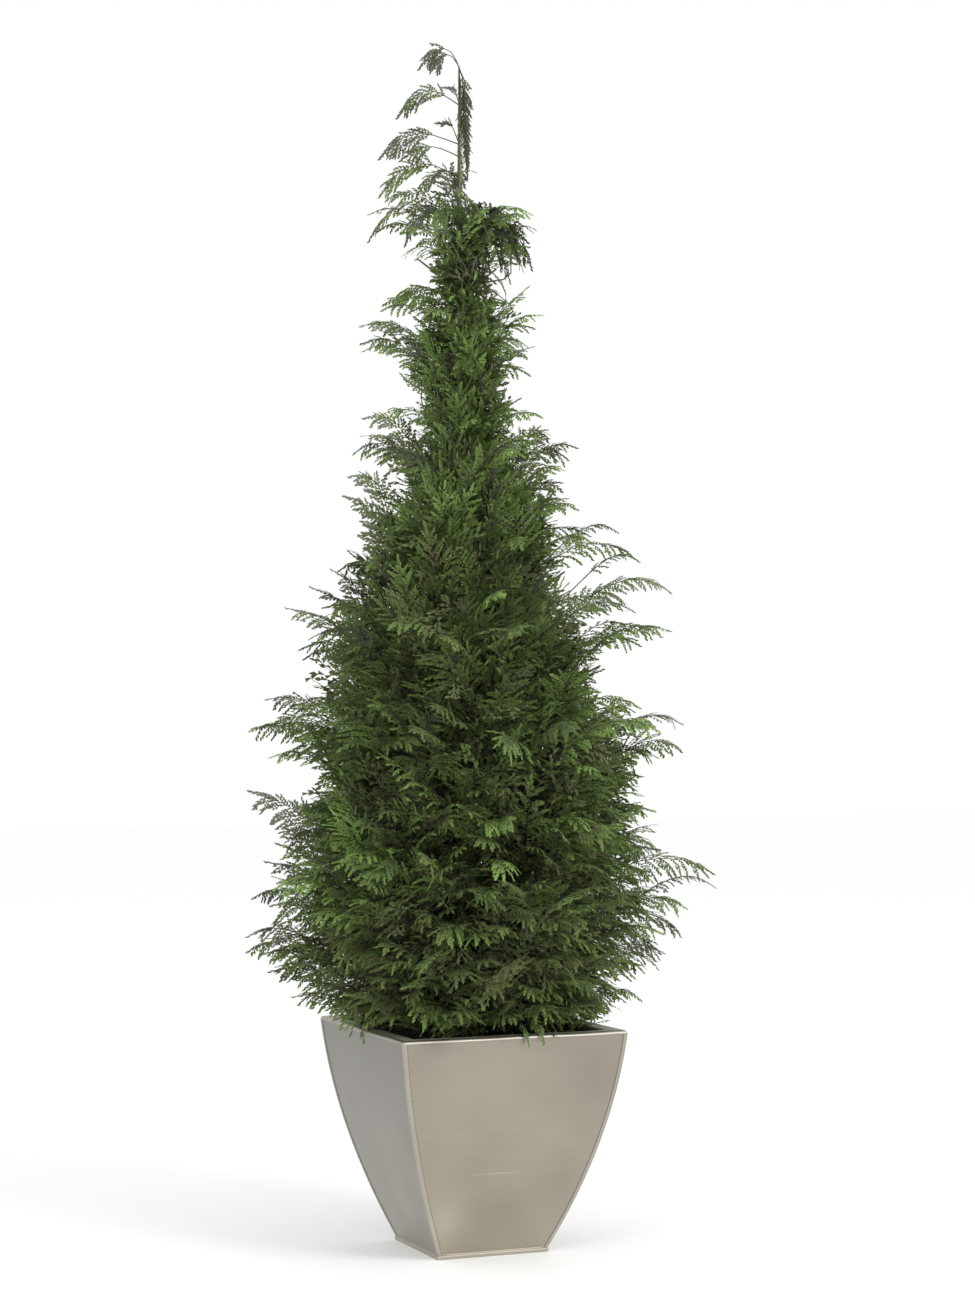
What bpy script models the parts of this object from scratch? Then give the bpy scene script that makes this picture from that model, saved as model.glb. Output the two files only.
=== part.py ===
"""A tall, narrow conifer with flat feathery sprays, growing in a square pot of brushed sheet steel.

Metres, +Z up. The origin is the middle of the pot's flat underside, and the pot's sides face X and Y.
The crown is cut into tiers by bowl-shaped surfaces that climb outwards as the boughs do, and each tier
into equal sectors. One mass of foliage keeps to each of these cells, so that no two masses touch.
"""

import math
import random
from dataclasses import dataclass

import bmesh
import bpy
from mathutils import Matrix, Vector
from mathutils.bvhtree import BVHTree

# The pot: a square, tapering shell of folded sheet whose sides bulge, on a thin foot plate
POT_HEIGHT = 0.395
POT_RIM_WIDTH = 0.420
POT_FOOT_WIDTH = 0.207
POT_STRAIGHT_SHARE = 0.36  # of the taper; the rest of it is the bulge
POT_SIDE_STEPS = 12
SHEET = 0.002
RIM_FLANGE = 0.032
RIM_FOLD_RADIUS = 0.006
RIM_FOLD_STEPS = 3
FOOT_PLATE_WIDTH = 0.210
FOOT_PLATE_HEIGHT = 0.007
SOIL_BELOW_RIM = 0.014
SOIL_MOUND = 0.005
SQUARE_SIDES = 4
GAP = 0.0003  # between pieces that rest on one another

# The trunk
TRUNK_TIP_HEIGHT = 2.100
TRUNK_RADIUS = 0.0195
TRUNK_TIP_RADIUS = 0.0016
TRUNK_TAPER_POWER = 1.15
ROOT_FLARE = 0.013
ROOT_FLARE_HEIGHT = 0.022
TRUNK_POINTS = 15
LEAN = 0.021  # how far the leader stands off the pot's middle
LEAN_FROM, LEAN_TO = 1.30, 1.90  # heights between which the trunk bends over to it
CROOK = 0.003  # slight waver of the trunk
CROOK_LENGTH = 0.55

# The crown. Its low boughs reach furthest on the broad side, and the leader leans to the other.
BROAD_SIDE = math.radians(-22.4)
NARROW_SIDE = BROAD_SIDE + math.pi
CELL_MARGIN = 0.004
SWIRL = 1.4  # radians for each metre out from the trunk, to one side and the other by turns
SWIRL_CENTRE = 0.33
TRUNK_CLEARANCE = 0.003  # from the trunk's bark to the nearest needle
STEM_SIDES, BOUGH_SIDES, TRUNK_SIDES = 4, 6, 8

# Sprays: each is a toothed blade along a nodding shoot
SHOOT_SUNK = 0.35  # of the dense part's depth, how far in its shoots are rooted
SHOOT_PLACES = ((-0.70, 0.45), (0.70, 0.70), (-0.30, 0.88), (0.35, 0.35))  # tips, shares (across, up)
CROWN_TAPER = 0.35  # how much of the reach is lost at the top of a cell
SHOOT_CLIMB, SHOOT_LOWEST = 0.42, 0.14  # shares of the cell's height: from root to tip, and of any root
SHOOT_BOW = 0.10  # of the shoot's length, how far it arches above its chord
SPRAY_TEETH = 3  # pairs
SPRAY_HALF_WIDTH = 0.078
SPRAY_THICKNESS = 0.0052
RIB_HALF_WIDTH = 0.0045
TOOTH_ANGLE = math.radians(42)
TOOTH_TAPER = 0.68  # how much shorter the last teeth are than the first
TOOTH_SAG = 0.16  # of the tooth's length
SPRAY_ROLL = math.radians(50)
SPRAY_TRIES = ((1.0, 1.0), (0.3, 1.0), (-0.5, 0.9), (1.0, 0.8), (0.0, 0.7), (-1.0, 0.6))  # shares of (roll, size)


@dataclass(frozen=True)
class Surface:
    """A bowl round the trunk: its height at the trunk, at the tips, and the tips' distance."""

    at_trunk: float
    at_tips: float
    reach: float
    bow: float = 0.12  # of the climb, how far the bowl bulges up half way out

    def height(self, radius):
        t = min(radius / self.reach, 1.0)
        climb = self.at_tips - self.at_trunk
        return self.at_trunk + climb * t + 4 * self.bow * abs(climb) * t * (1 - t)


@dataclass(frozen=True)
class Tier:
    """The masses between two surfaces. The dense inside of each runs between two shares of its reach."""

    masses: int
    first_azimuth: float
    broad_reach: float
    narrow_reach: float
    sprays: int
    leading_tip: float  # share of the cell's height at which the longest spray ends
    dense_from: float
    dense_to: float
    core_detail: int
    core_fill: float  # of the cell's width and height
    bough: bool  # a limb carries each mass out from the trunk


SURFACES = (
    Surface(0.398, 0.445, 0.38, -0.25),
    Surface(0.490, 0.615, 0.40),
    Surface(0.620, 0.805, 0.40),
    Surface(0.780, 0.990, 0.38),
    Surface(0.950, 1.180, 0.35),
    Surface(1.140, 1.360, 0.27),
    Surface(1.330, 1.540, 0.20),
    Surface(1.565, 1.725, 0.17),
    Surface(1.800, 1.870, 0.16),
)
TIERS = (
    Tier(5, NARROW_SIDE, 0.375, 0.395, 4, 0.50, 0.42, 0.71, 2, 0.93, True),
    Tier(5, BROAD_SIDE, 0.430, 0.392, 4, 0.22, 0.38, 0.70, 2, 0.93, True),
    Tier(5, NARROW_SIDE, 0.378, 0.390, 4, 0.60, 0.38, 0.70, 2, 0.93, True),
    Tier(5, BROAD_SIDE, 0.353, 0.330, 4, 0.55, 0.34, 0.70, 2, 0.93, False),
    Tier(4, BROAD_SIDE, 0.290, 0.235, 4, 0.32, 0.26, 0.62, 2, 0.93, False),
    Tier(3, NARROW_SIDE, 0.180, 0.210, 5, 0.40, 0.16, 0.50, 1, 0.84, False),
    Tier(3, NARROW_SIDE, 0.118, 0.192, 5, 0.55, 0.12, 0.42, 1, 0.84, False),
    Tier(4, BROAD_SIDE, 0.138, 0.165, 4, 0.70, 0.12, 0.52, 2, 0.84, False),
)
STEM_SUNK = 0.5  # how far into the dense part its stem runs
BOUGH_CLEARANCE = 0.010  # from the end of a bough to the dense part of its mass
CORE_SQUARENESS = 0.85  # from a ball at 0 to the cell's own shape at 1
CORE_ROUGHNESS = 0.11
TUFTS_FROM = 0.3  # faces of the dense part beyond this, from -1 at its inner end to 1, carry a tuft each
TUFT_LENGTH = 0.055
TUFT_RISE = 0.16  # of the cell's height
TUFT_LIMIT = 0.95  # of the cell's width and height
BOUGH_RADIUS, STEM_RADIUS, STEM_TIP_RADIUS = 0.0065, 0.0040, 0.0016
BOUGH_POINTS, STEM_POINTS = 3, 3
STEM_SHARE = 0.45  # of the trunk's radius, the thickest stem it carries
LEAST_VOLUME_KEPT = 0.4  # of a base, once its pieces are joined and the trunk's space is cut from it


@dataclass(frozen=True)
class LeaderSpray:
    """One spray on the bare top of the trunk, which arches out and nods."""

    name: str
    foot: float  # height on the trunk
    azimuth: float
    reach: float
    crest: float  # height of its highest point
    tip: float  # height of its tip
    half_width: float
    teeth: int
    side_sprays: int
    outward: float  # below 1, most of the way out comes before the way down
    roll: float


LEADER = (
    LeaderSpray("leader_spray_1", 1.862, NARROW_SIDE + 0.50, 0.085, 1.908, 1.872, 0.036, 3, 1, 0.9, 0.6),
    LeaderSpray("leader_spray_2", 1.905, NARROW_SIDE - 0.22, 0.145, 1.930, 1.880, 0.048, 4, 1, 0.9, 1.0),
    LeaderSpray("leader_spray_3", 1.962, NARROW_SIDE + 0.16, 0.142, 1.978, 1.942, 0.046, 4, 1, 0.9, -1.0),
    LeaderSpray("leader_spray_4", 2.022, NARROW_SIDE - 0.12, 0.113, 2.058, 2.012, 0.030, 4, 1, 0.9, 0.9),
    LeaderSpray("leader_spray_5", 1.888, NARROW_SIDE - 1.60, 0.085, 1.925, 1.892, 0.034, 3, 1, 0.9, 0.5),
    LeaderSpray("leader_tip", 2.096, NARROW_SIDE, 0.062, 2.130, 2.072, 0.028, 4, 1, 0.75, 1.0),
    LeaderSpray("leader_veil", 2.088, BROAD_SIDE - 0.80, 0.026, 2.100, 1.905, 0.018, 6, 0, 0.25, 0.0),
)


def start_scene():
    """An empty scene with one collection for the parts."""
    for obj in list(bpy.data.objects):
        bpy.data.objects.remove(obj)
    parts = bpy.data.collections.new("potted_conifer")
    bpy.context.scene.collection.children.link(parts)
    return parts


def material(name, colour, roughness, metallic=0.0):
    made = bpy.data.materials.new(name)
    made.use_nodes = True
    shader = made.node_tree.nodes["Principled BSDF"]
    shader.inputs["Base Color"].default_value = (*colour, 1)
    shader.inputs["Roughness"].default_value = roughness
    shader.inputs["Metallic"].default_value = metallic
    return made


def add_object(name, mesh, collection, finish):
    obj = bpy.data.objects.new(name, mesh)
    obj.data.materials.clear()
    obj.data.materials.append(finish)
    collection.objects.link(obj)
    return obj


def mesh_of(bm, name):
    """A mesh from a bmesh, with its faces turned outwards. The bmesh is used up."""
    bmesh.ops.recalc_face_normals(bm, faces=bm.faces)
    if bm.calc_volume(signed=True) < 0:
        bmesh.ops.reverse_faces(bm, faces=bm.faces)
    mesh = bpy.data.meshes.new(name)
    bm.to_mesh(mesh)
    bm.free()
    return mesh


def evaluated_mesh(obj, weld):
    """The mesh of an object with its modifiers applied, and points nearer than the weld made one."""
    bpy.context.view_layer.update()
    seen = obj.evaluated_get(bpy.context.evaluated_depsgraph_get())
    mesh = bpy.data.meshes.new_from_object(seen)
    bm = bmesh.new()
    bm.from_mesh(mesh)
    bmesh.ops.remove_doubles(bm, verts=bm.verts, dist=weld)
    bm.to_mesh(mesh)
    bm.free()
    return mesh


def tube_mesh(name, points, radii, sides):
    """A tapering round limb along the points, closed at both ends."""
    curve = bpy.data.curves.new(name, "CURVE")
    curve.dimensions = "3D"
    curve.bevel_depth = 1.0
    curve.bevel_resolution = sides // 2 - 2
    curve.use_fill_caps = True
    spline = curve.splines.new("POLY")
    spline.points.add(len(points) - 1)
    for place, point, radius in zip(spline.points, points, radii):
        place.co = (*point, 1)
        place.radius = radius
    helper = bpy.data.objects.new(name, curve)
    bpy.context.scene.collection.objects.link(helper)
    mesh = evaluated_mesh(helper, 1e-6)
    bpy.data.objects.remove(helper)
    return mesh


def turned_square(name, profile, collection, finish):
    """A square solid from its half section: a profile turned in four steps, so its corners lie on it.

    The profile holds (half width, height) pairs and runs down the outer side.
    """
    bm = bmesh.new()
    corner = math.sqrt(2)
    verts = [bm.verts.new((half * corner, 0, height)) for half, height in profile]
    for first, second in zip(verts, verts[1:]):
        bm.edges.new((first, second))
    mesh = bpy.data.meshes.new(name)
    bm.to_mesh(mesh)
    bm.free()
    obj = add_object(name, mesh, collection, finish)
    obj.rotation_euler.z = math.pi / SQUARE_SIDES
    screw = obj.modifiers.new("turn", "SCREW")
    screw.steps = screw.render_steps = SQUARE_SIDES
    screw.use_merge_vertices = True
    screw.merge_threshold = 0.0001
    screw.use_smooth_shade = False
    return obj


def pot_half_width(height):
    """Half the pot's outer width at a height: a straight taper and a bulge."""
    depth = (POT_HEIGHT - height) / (POT_HEIGHT - FOOT_PLATE_HEIGHT)
    taper = POT_STRAIGHT_SHARE * depth + (1 - POT_STRAIGHT_SHARE) * depth**2
    return (POT_RIM_WIDTH - (POT_RIM_WIDTH - POT_FOOT_WIDTH) * taper) / 2


def side_heights(low, high):
    return [low + (high - low) * i / POT_SIDE_STEPS for i in range(POT_SIDE_STEPS + 1)]


def make_pot(parts, steel):
    floor = FOOT_PLATE_HEIGHT + GAP
    fold_foot = POT_HEIGHT - RIM_FOLD_RADIUS
    inside = [(pot_half_width(z) - SHEET, z) for z in side_heights(floor + SHEET, fold_foot)]
    flange_edge = POT_RIM_WIDTH / 2 - RIM_FLANGE
    flange = [
        (pot_half_width(fold_foot) - RIM_FOLD_RADIUS, POT_HEIGHT - SHEET),
        (flange_edge, POT_HEIGHT - SHEET),
        (flange_edge, POT_HEIGHT),
    ]
    fold = []
    for i in range(RIM_FOLD_STEPS + 1):
        turn = math.pi / 2 * i / RIM_FOLD_STEPS
        half = pot_half_width(fold_foot) - RIM_FOLD_RADIUS * (1 - math.sin(turn))
        fold.append((half, fold_foot + RIM_FOLD_RADIUS * math.cos(turn)))
    outside = [(pot_half_width(z), z) for z in reversed(side_heights(floor, fold_foot))][1:]
    profile = [(0, floor + SHEET), *inside, *flange, *fold, *outside, (0, floor)]
    turned_square("pot_shell", profile, parts, steel)
    half = FOOT_PLATE_WIDTH / 2
    plate = [(0, FOOT_PLATE_HEIGHT), (half, FOOT_PLATE_HEIGHT), (half, 0), (0, 0)]
    turned_square("pot_foot", plate, parts, steel)


def soil_height():
    """The height of the soil against the trunk."""
    return POT_HEIGHT - SOIL_BELOW_RIM + SOIL_MOUND


def make_soil(parts, earth):
    low = FOOT_PLATE_HEIGHT + GAP + SHEET + GAP
    rim = POT_HEIGHT - SOIL_BELOW_RIM
    side = [(pot_half_width(z) - SHEET - GAP, z) for z in reversed(side_heights(low, rim))]
    mound = [(0, rim + SOIL_MOUND), (TRUNK_RADIUS * 4, rim + SOIL_MOUND)]
    turned_square("soil", [*mound, *side, (0, low)], parts, earth)


def lean_at(height):
    """How far the trunk's middle stands off the pot's at a height, as a flat vector."""
    t = min(max((height - LEAN_FROM) / (LEAN_TO - LEAN_FROM), 0), 1)
    off = LEAN * t * t * (3 - 2 * t)
    waver = CROOK * math.sin((height - soil_height()) / CROOK_LENGTH * math.tau) * min(1, height - 0.4)
    along = Vector((math.cos(NARROW_SIDE), math.sin(NARROW_SIDE), 0))
    across = Vector((-along.y, along.x, 0))
    return along * off + across * waver


def trunk_radius(height):
    rise = (height - soil_height()) / (TRUNK_TIP_HEIGHT - soil_height())
    taper = (TRUNK_RADIUS - TRUNK_TIP_RADIUS) * max(1 - rise, 0) ** TRUNK_TAPER_POWER
    flare = ROOT_FLARE * math.exp(-(height - soil_height()) / ROOT_FLARE_HEIGHT)
    return TRUNK_TIP_RADIUS + taper + flare


def trunk_mesh(name, grown=0.0):
    """The trunk from its flat foot to its tip, or a copy grown all round to cut with."""
    foot = soil_height() + GAP
    heights = [foot, foot + 0.010, foot + 0.030, foot + 0.070]
    steps = TRUNK_POINTS - len(heights)
    start = heights[-1]
    heights += [start + (TRUNK_TIP_HEIGHT - start) * (i + 1) / steps for i in range(steps)]
    points = [lean_at(z) + Vector((0, 0, z)) for z in heights]
    radii = [trunk_radius(z) + grown for z in heights]
    points[-1].z += grown
    return tube_mesh(name, points, radii, TRUNK_SIDES)


@dataclass(frozen=True)
class Cell:
    """The space of one mass: a sector of a tier, measured from the trunk."""

    name: str
    azimuth: float
    half_angle: float
    low: Surface
    high: Surface
    reach: float
    swirl: float  # how its sides turn, as they go out from the trunk

    def middle(self, radius):
        return self.azimuth + self.swirl * (radius - SWIRL_CENTRE)

    def place(self, radius, across, up):
        """A point from its distance, its share of the half sector and its share of the tier's height."""
        angle = self.middle(radius) + across * self.half_angle
        height = self.low.height(radius) * (1 - up) + self.high.height(radius) * up
        flat = Vector((math.cos(angle) * radius, math.sin(angle) * radius, height))
        return flat + lean_at(height)

    def holds(self, point):
        """Whether a point is in the cell, clear of its walls and of the trunk."""
        flat = point - lean_at(point.z)
        radius = math.hypot(flat.x, flat.y)
        turn = math.remainder(math.atan2(flat.y, flat.x) - self.middle(radius), math.tau)
        wall = radius * math.sin(min(self.half_angle, math.pi / 2) - abs(turn))
        return (
            radius > trunk_radius(point.z) + TRUNK_CLEARANCE
            and abs(turn) < self.half_angle
            and wall > CELL_MARGIN
            and self.low.height(radius) + CELL_MARGIN < point.z
            and point.z < self.high.height(radius) - CELL_MARGIN
        )


def reach_at(tier, azimuth):
    """A tier's reach, which swings between its broad and its narrow side."""
    middle = (tier.broad_reach + tier.narrow_reach) / 2
    swing = (tier.broad_reach - tier.narrow_reach) / 2
    return middle + swing * math.cos(azimuth - BROAD_SIDE)


def cells_of(tier_number):
    tier = TIERS[tier_number]
    low, high = SURFACES[tier_number], SURFACES[tier_number + 1]
    for i in range(tier.masses):
        azimuth = tier.first_azimuth + math.tau * i / tier.masses
        name = f"{tier_number + 1}_{'abcde'[i]}"
        swirl = SWIRL * (-1) ** tier_number
        yield Cell(name, azimuth, math.pi / tier.masses, low, high, reach_at(tier, azimuth), swirl)


def arched(start, end, lift, count):
    """Points on an arch from start to end whose middle stands lift above the chord."""
    crest = (start + end) / 2 + Vector((0, 0, 2 * lift))
    steps = [i / (count - 1) for i in range(count)]
    return [start * (1 - t) ** 2 + crest * 2 * t * (1 - t) + end * t * t for t in steps]


def spray_mesh(points, half_width, teeth, roll):
    """A toothed blade on a short stalk: a raised rib along the points, and a pair of teeth at each of
    them but the first and the last, which is the blade's own tip."""
    bm = bmesh.new()
    rows = []
    for i in range(teeth + 1):
        ahead = (points[i + 1] - points[i]).normalized()
        flat = ahead.cross(Vector((0, 0, 1)))
        if flat.length < 0.1:
            flat = ahead.cross(Vector((points[i].x, points[i].y, 0)))
        side = Matrix.Rotation(roll, 3, ahead) @ flat.normalized()
        normal = side.cross(ahead)
        step = i / teeth
        thick = normal * SPRAY_THICKNESS / 2 * (1 - 0.5 * step)
        rib = RIB_HALF_WIDTH * (1 - 0.5 * step)
        row = {"top": bm.verts.new(points[i] + thick), "under": bm.verts.new(points[i] - thick)}
        for hand in (-1, 1):
            row["rib", hand] = bm.verts.new(points[i] + side * rib * hand)
            if i:
                length = half_width * (1 - TOOTH_TAPER * step)
                reach = ahead * math.cos(TOOTH_ANGLE) + side * hand * math.sin(TOOTH_ANGLE)
                sag = Vector((0, 0, -TOOTH_SAG * length))
                row["tooth", hand] = bm.verts.new(points[i] + reach * length / math.sin(TOOTH_ANGLE) + sag)
        rows.append(row)
    tip = bm.verts.new(points[teeth + 1])
    for i, row in enumerate(rows):
        after = rows[i + 1] if i < teeth else {"top": tip, "under": tip}
        for hand in (-1, 1):
            for face in ("top", "under"):
                corners = [row[face], row["rib", hand], row.get(("tooth", hand)), after.get(("rib", hand))]
                corners = [corner for corner in corners if corner]
                for first, second in zip(corners[1:], [*corners[2:], after[face]]):
                    bm.faces.new((row[face], first, second))
    for hand in (-1, 1):
        bm.faces.new((rows[0]["top"], rows[0]["under"], rows[0]["rib", hand]))
    return mesh_of(bm, "spray")


def fits(mesh, cell):
    """Whether every corner and edge middle of a mesh is in its cell."""
    for edge in mesh.edges:
        first, second = (mesh.vertices[i].co for i in edge.vertices)
        if not all(cell.holds(point) for point in (first, (first + second) / 2, second)):
            return False
    return True


def crosses(mesh, other):
    """Whether two meshes cut through one another."""
    trees = []
    for one in (mesh, other):
        trees.append(BVHTree.FromPolygons([v.co for v in one.vertices], [p.vertices for p in one.polygons]))
    return bool(trees[0].overlap(trees[1]))


def core_mesh(cell, tier):
    """The dense inside of a mass: a rough ball, squared out, mapped into the cell, its outer faces drawn
    out into tufts."""
    bm = bmesh.new()
    turned = Matrix.Rotation(math.pi / 2, 4, "Y")
    bmesh.ops.create_icosphere(bm, subdivisions=tier.core_detail, radius=1.0, matrix=turned)
    outer = [face for face in bm.faces if face.calc_center_median().x > TUFTS_FROM]
    tufts = set(bmesh.ops.poke(bm, faces=outer)["verts"])
    draw = random.Random(cell.name + " core")
    fill = tier.core_fill
    middle = cell.reach * (tier.dense_to + tier.dense_from) / 2
    half = cell.reach * (tier.dense_to - tier.dense_from) / 2
    for vert in bm.verts:
        square = max(abs(share) for share in vert.co) ** -CORE_SQUARENESS
        place = vert.co * square * (1 - draw.uniform(0, CORE_ROUGHNESS))
        out, across, up = middle + half * place.x, fill * place.y, fill * place.z
        if vert in tufts:
            out += min(TUFT_LENGTH, cell.reach * 0.22) * draw.uniform(0.5, 1)
            across = min(max(across * 1.15, -TUFT_LIMIT), TUFT_LIMIT)
            up = min(max(up + 2 * TUFT_RISE * draw.uniform(0.2, 1), -TUFT_LIMIT), TUFT_LIMIT)
        vert.co = cell.place(out, across, 0.5 + up / 2)
    return mesh_of(bm, "core")


def shoot_ends(cell, tier):
    """Where each shoot of a mass starts and ends, in the cell's own measures, the leading one first.

    Each end is (distance, share across, share up). A shoot starts inside the dense part, and climbs.
    """
    draw = random.Random(cell.name)
    root = cell.reach * (tier.dense_to - SHOOT_SUNK * (tier.dense_to - tier.dense_from))
    hand = draw.choice((-1, 1))
    for i, (across, up) in enumerate([(0, tier.leading_tip), *SHOOT_PLACES][: tier.sprays]):
        across = across * hand + draw.uniform(-0.08, 0.08)
        up += draw.uniform(-0.05, 0.05)
        share = draw.uniform(0.90, 1.0) - CROWN_TAPER * max(up - tier.leading_tip, 0) if i else 1.0
        tip = (cell.reach * share, across, up)
        yield (root, across * 0.72, max(up - SHOOT_CLIMB, SHOOT_LOWEST)), tip, draw.uniform(-1, 1)


def joined_mesh(base, pieces, cutter, solver):
    """One mesh from a base and the pieces fused into it, cut clear of the cutter."""
    extras = bpy.data.collections.new("pieces")
    scene = bpy.context.scene.collection
    scene.children.link(extras)
    for mesh in pieces:
        extras.objects.link(bpy.data.objects.new("piece", mesh))
    helper = bpy.data.objects.new("base", base)
    scene.objects.link(helper)
    if pieces:
        union = helper.modifiers.new("join", "BOOLEAN")
        union.operation = "UNION"
        union.operand_type = "COLLECTION"
        union.collection = extras
        union.solver = solver
        union.use_self = solver == "EXACT"
    cut = helper.modifiers.new("clear", "BOOLEAN")
    cut.operation = "DIFFERENCE"
    cut.object = cutter
    mesh = evaluated_mesh(helper, 1e-6)
    for obj in [*extras.objects, helper]:
        bpy.data.objects.remove(obj)
    bpy.data.collections.remove(extras)
    return mesh


def bodies_of(bm):
    """The sets of faces that hang together across edges of two faces, the largest last."""
    unseen, bodies = set(bm.faces), []
    while unseen:
        body, front = set(), [unseen.pop()]
        while front:
            face = front.pop()
            body.add(face)
            for edge in face.edges:
                near = set(edge.link_faces) & unseen if len(edge.link_faces) == 2 else set()
                unseen -= near
                front += near
        bodies.append(body)
    return sorted(bodies, key=len)


def make_sound(mesh, least_volume):
    """Drops loose scraps and sealed hollows, and says whether one closed body of some size is left."""
    bm = bmesh.new()
    bm.from_mesh(mesh)
    for body in bodies_of(bm)[:-1]:
        bmesh.ops.delete(bm, geom=list(body), context="FACES")
    closed = all(vert.is_manifold for vert in bm.verts) and all(edge.is_manifold for edge in bm.edges)
    large = bm.calc_volume(signed=True) > least_volume
    bm.to_mesh(mesh)
    bm.free()
    return closed and large


def volume(mesh):
    bm = bmesh.new()
    bm.from_mesh(mesh)
    size = bm.calc_volume(signed=True)
    bm.free()
    return size


def add_joined(name, base, pieces, parts, finish, cutter):
    """One solid from a base and its pieces. The last pieces are left off one by one if it isn't sound."""
    least_volume = volume(base) * LEAST_VOLUME_KEPT
    for count in range(len(pieces), -1, -1):
        for solver in ("EXACT", "MANIFOLD"):
            mesh = joined_mesh(base, pieces[:count], cutter, solver)
            if make_sound(mesh, least_volume):
                return add_object(name, mesh, parts, finish)
            print("not sound:", name, count, solver)
    raise RuntimeError(f"{name} can't be joined")


def limb_line(cell, start, end, count):
    """Points along the middle of a cell between two distances from the trunk."""
    return [cell.place(start + (end - start) * i / (count - 1), 0, 0.5) for i in range(count)]


def taper(first, last, count):
    return [first + (last - first) * i / (count - 1) for i in range(count)]


def bough_end(cell, tier):
    return cell.reach * tier.dense_from - BOUGH_CLEARANCE


def make_bough(cell, tier, parts, bark, cutter):
    """The limb that carries a mass, coped to fit round the trunk."""
    points = limb_line(cell, 0.0, bough_end(cell, tier), BOUGH_POINTS)
    limb = tube_mesh("limb", points, taper(BOUGH_RADIUS, STEM_RADIUS, BOUGH_POINTS), BOUGH_SIDES)
    add_joined("bough_" + cell.name, limb, [], parts, bark, cutter)


def make_mass(cell, tier, parts, leaf, cutter):
    """One mass: a stem, the dense part that it runs into, and the sprays that stand out of that."""
    start = bough_end(cell, tier) if tier.bough else 0.0
    end = cell.reach * (tier.dense_from + STEM_SUNK * (tier.dense_to - tier.dense_from))
    line = limb_line(cell, start, end, STEM_POINTS)
    if tier.bough:
        ahead = (line[0] - limb_line(cell, 0.0, start, BOUGH_POINTS)[-2]).normalized()
        line[:1] = [line[0] + ahead * GAP, line[0] + ahead * BOUGH_CLEARANCE / 2]
    radius = min(STEM_RADIUS, trunk_radius(line[0].z) * STEM_SHARE)
    stem = tube_mesh("stem", line, taper(radius, STEM_TIP_RADIUS, len(line)), STEM_SIDES)
    sprays = []
    for root, tip, turn in shoot_ends(cell, tier):
        first, last = cell.place(*root), cell.place(*tip)
        points = arched(first, last, SHOOT_BOW * (last - first).length, SPRAY_TEETH + 2)
        for roll_share, size in SPRAY_TRIES:
            half_width = min(SPRAY_HALF_WIDTH, (last - first).length * 0.5) * size
            mesh = spray_mesh(points, half_width, SPRAY_TEETH, turn * SPRAY_ROLL * roll_share)
            if fits(mesh, cell) and not any(crosses(mesh, other) for other in sprays):
                sprays.append(mesh)
                break
        else:
            print("skipped a spray in", cell.name)
    name = "foliage_" + cell.name
    add_joined(name, core_mesh(cell, tier), [stem, *sprays], parts, leaf, cutter)


def leader_line(spray, count):
    """The nodding line of a leader spray: up to its crest a third of the way out, then down to its tip."""
    points = []
    for i in range(count):
        t = i / (count - 1)
        rise = (spray.crest - spray.foot) * math.sin(min(t / 0.45, 1) * math.pi / 2)
        drop = (spray.crest - spray.tip) * max(t - 0.45, 0) ** 2 / 0.55**2
        radius = spray.reach * t**spray.outward
        height = spray.foot + rise - drop
        flat = Vector((math.cos(spray.azimuth) * radius, math.sin(spray.azimuth) * radius, height))
        points.append(flat + lean_at(spray.foot))
    return points


def make_leader_spray(spray, parts, leaf, cutter):
    """A spray at the top: a thin stem with one long blade along it, and smaller ones off its sides."""
    line = leader_line(spray, 7)
    stem = tube_mesh("stem", line[:3], taper(0.0022, 0.0016, 3), STEM_SIDES)
    blade_line = leader_line(spray, 4 * (spray.teeth + 2))
    first = len(blade_line) // 4
    step = (len(blade_line) - 1 - first) / (spray.teeth + 1)
    points = [blade_line[round(first + step * i)] for i in range(spray.teeth + 2)]
    blades = [spray_mesh(points, spray.half_width, spray.teeth, spray.roll)]
    for i in range(spray.side_sprays):
        hand = 1 if i % 2 else -1
        root = line[2 + i]
        turn = spray.azimuth + hand * 0.9
        reach = spray.reach * 0.5
        end = root + Vector((math.cos(turn) * reach, math.sin(turn) * reach, -0.15 * reach))
        side_points = arched(root, end, reach * 0.15, 5)
        blades.append(spray_mesh(side_points, spray.half_width * 0.6, 3, hand * 0.5))
    add_joined(spray.name, stem, blades, parts, leaf, cutter)


def main():
    parts = start_scene()
    steel = material("brushed_steel", (0.42, 0.40, 0.36), 0.38, 1.0)
    earth = material("soil", (0.018, 0.014, 0.011), 0.95)
    bark = material("bark", (0.11, 0.075, 0.05), 0.85)
    leaf = material("foliage", (0.055, 0.105, 0.035), 0.7)
    make_pot(parts, steel)
    make_soil(parts, earth)
    add_object("trunk", trunk_mesh("trunk"), parts, bark)
    cutter = add_object("trunk_clearance", trunk_mesh("trunk_clearance", GAP), parts, bark)
    cutter.hide_render = True
    for number, tier in enumerate(TIERS):
        for cell in cells_of(number):
            if tier.bough:
                make_bough(cell, tier, parts, bark, cutter)
            make_mass(cell, tier, parts, leaf, cutter)
    for spray in LEADER:
        make_leader_spray(spray, parts, leaf, cutter)
    bpy.data.objects.remove(cutter)


main()
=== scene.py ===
"""A tall, narrow conifer with flat feathery sprays, in a square pot of brushed sheet steel.

Metres, +Z up. The origin is the middle of the pot's flat underside, and the pot's sides face X and Y.
Each mass of the crown is grown again here by the rule that shapes its solid, carried on to finer twigs:
a stem on a limb's line, shoots that climb and nod from it, and a flat spray of small leaves on each.
"""

import logging
import math
import random
from collections.abc import Callable, Iterator, Sequence
from dataclasses import dataclass
from enum import Enum

import bmesh
import bpy
import numpy as np
from mathutils import Matrix, Vector, noise


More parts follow.
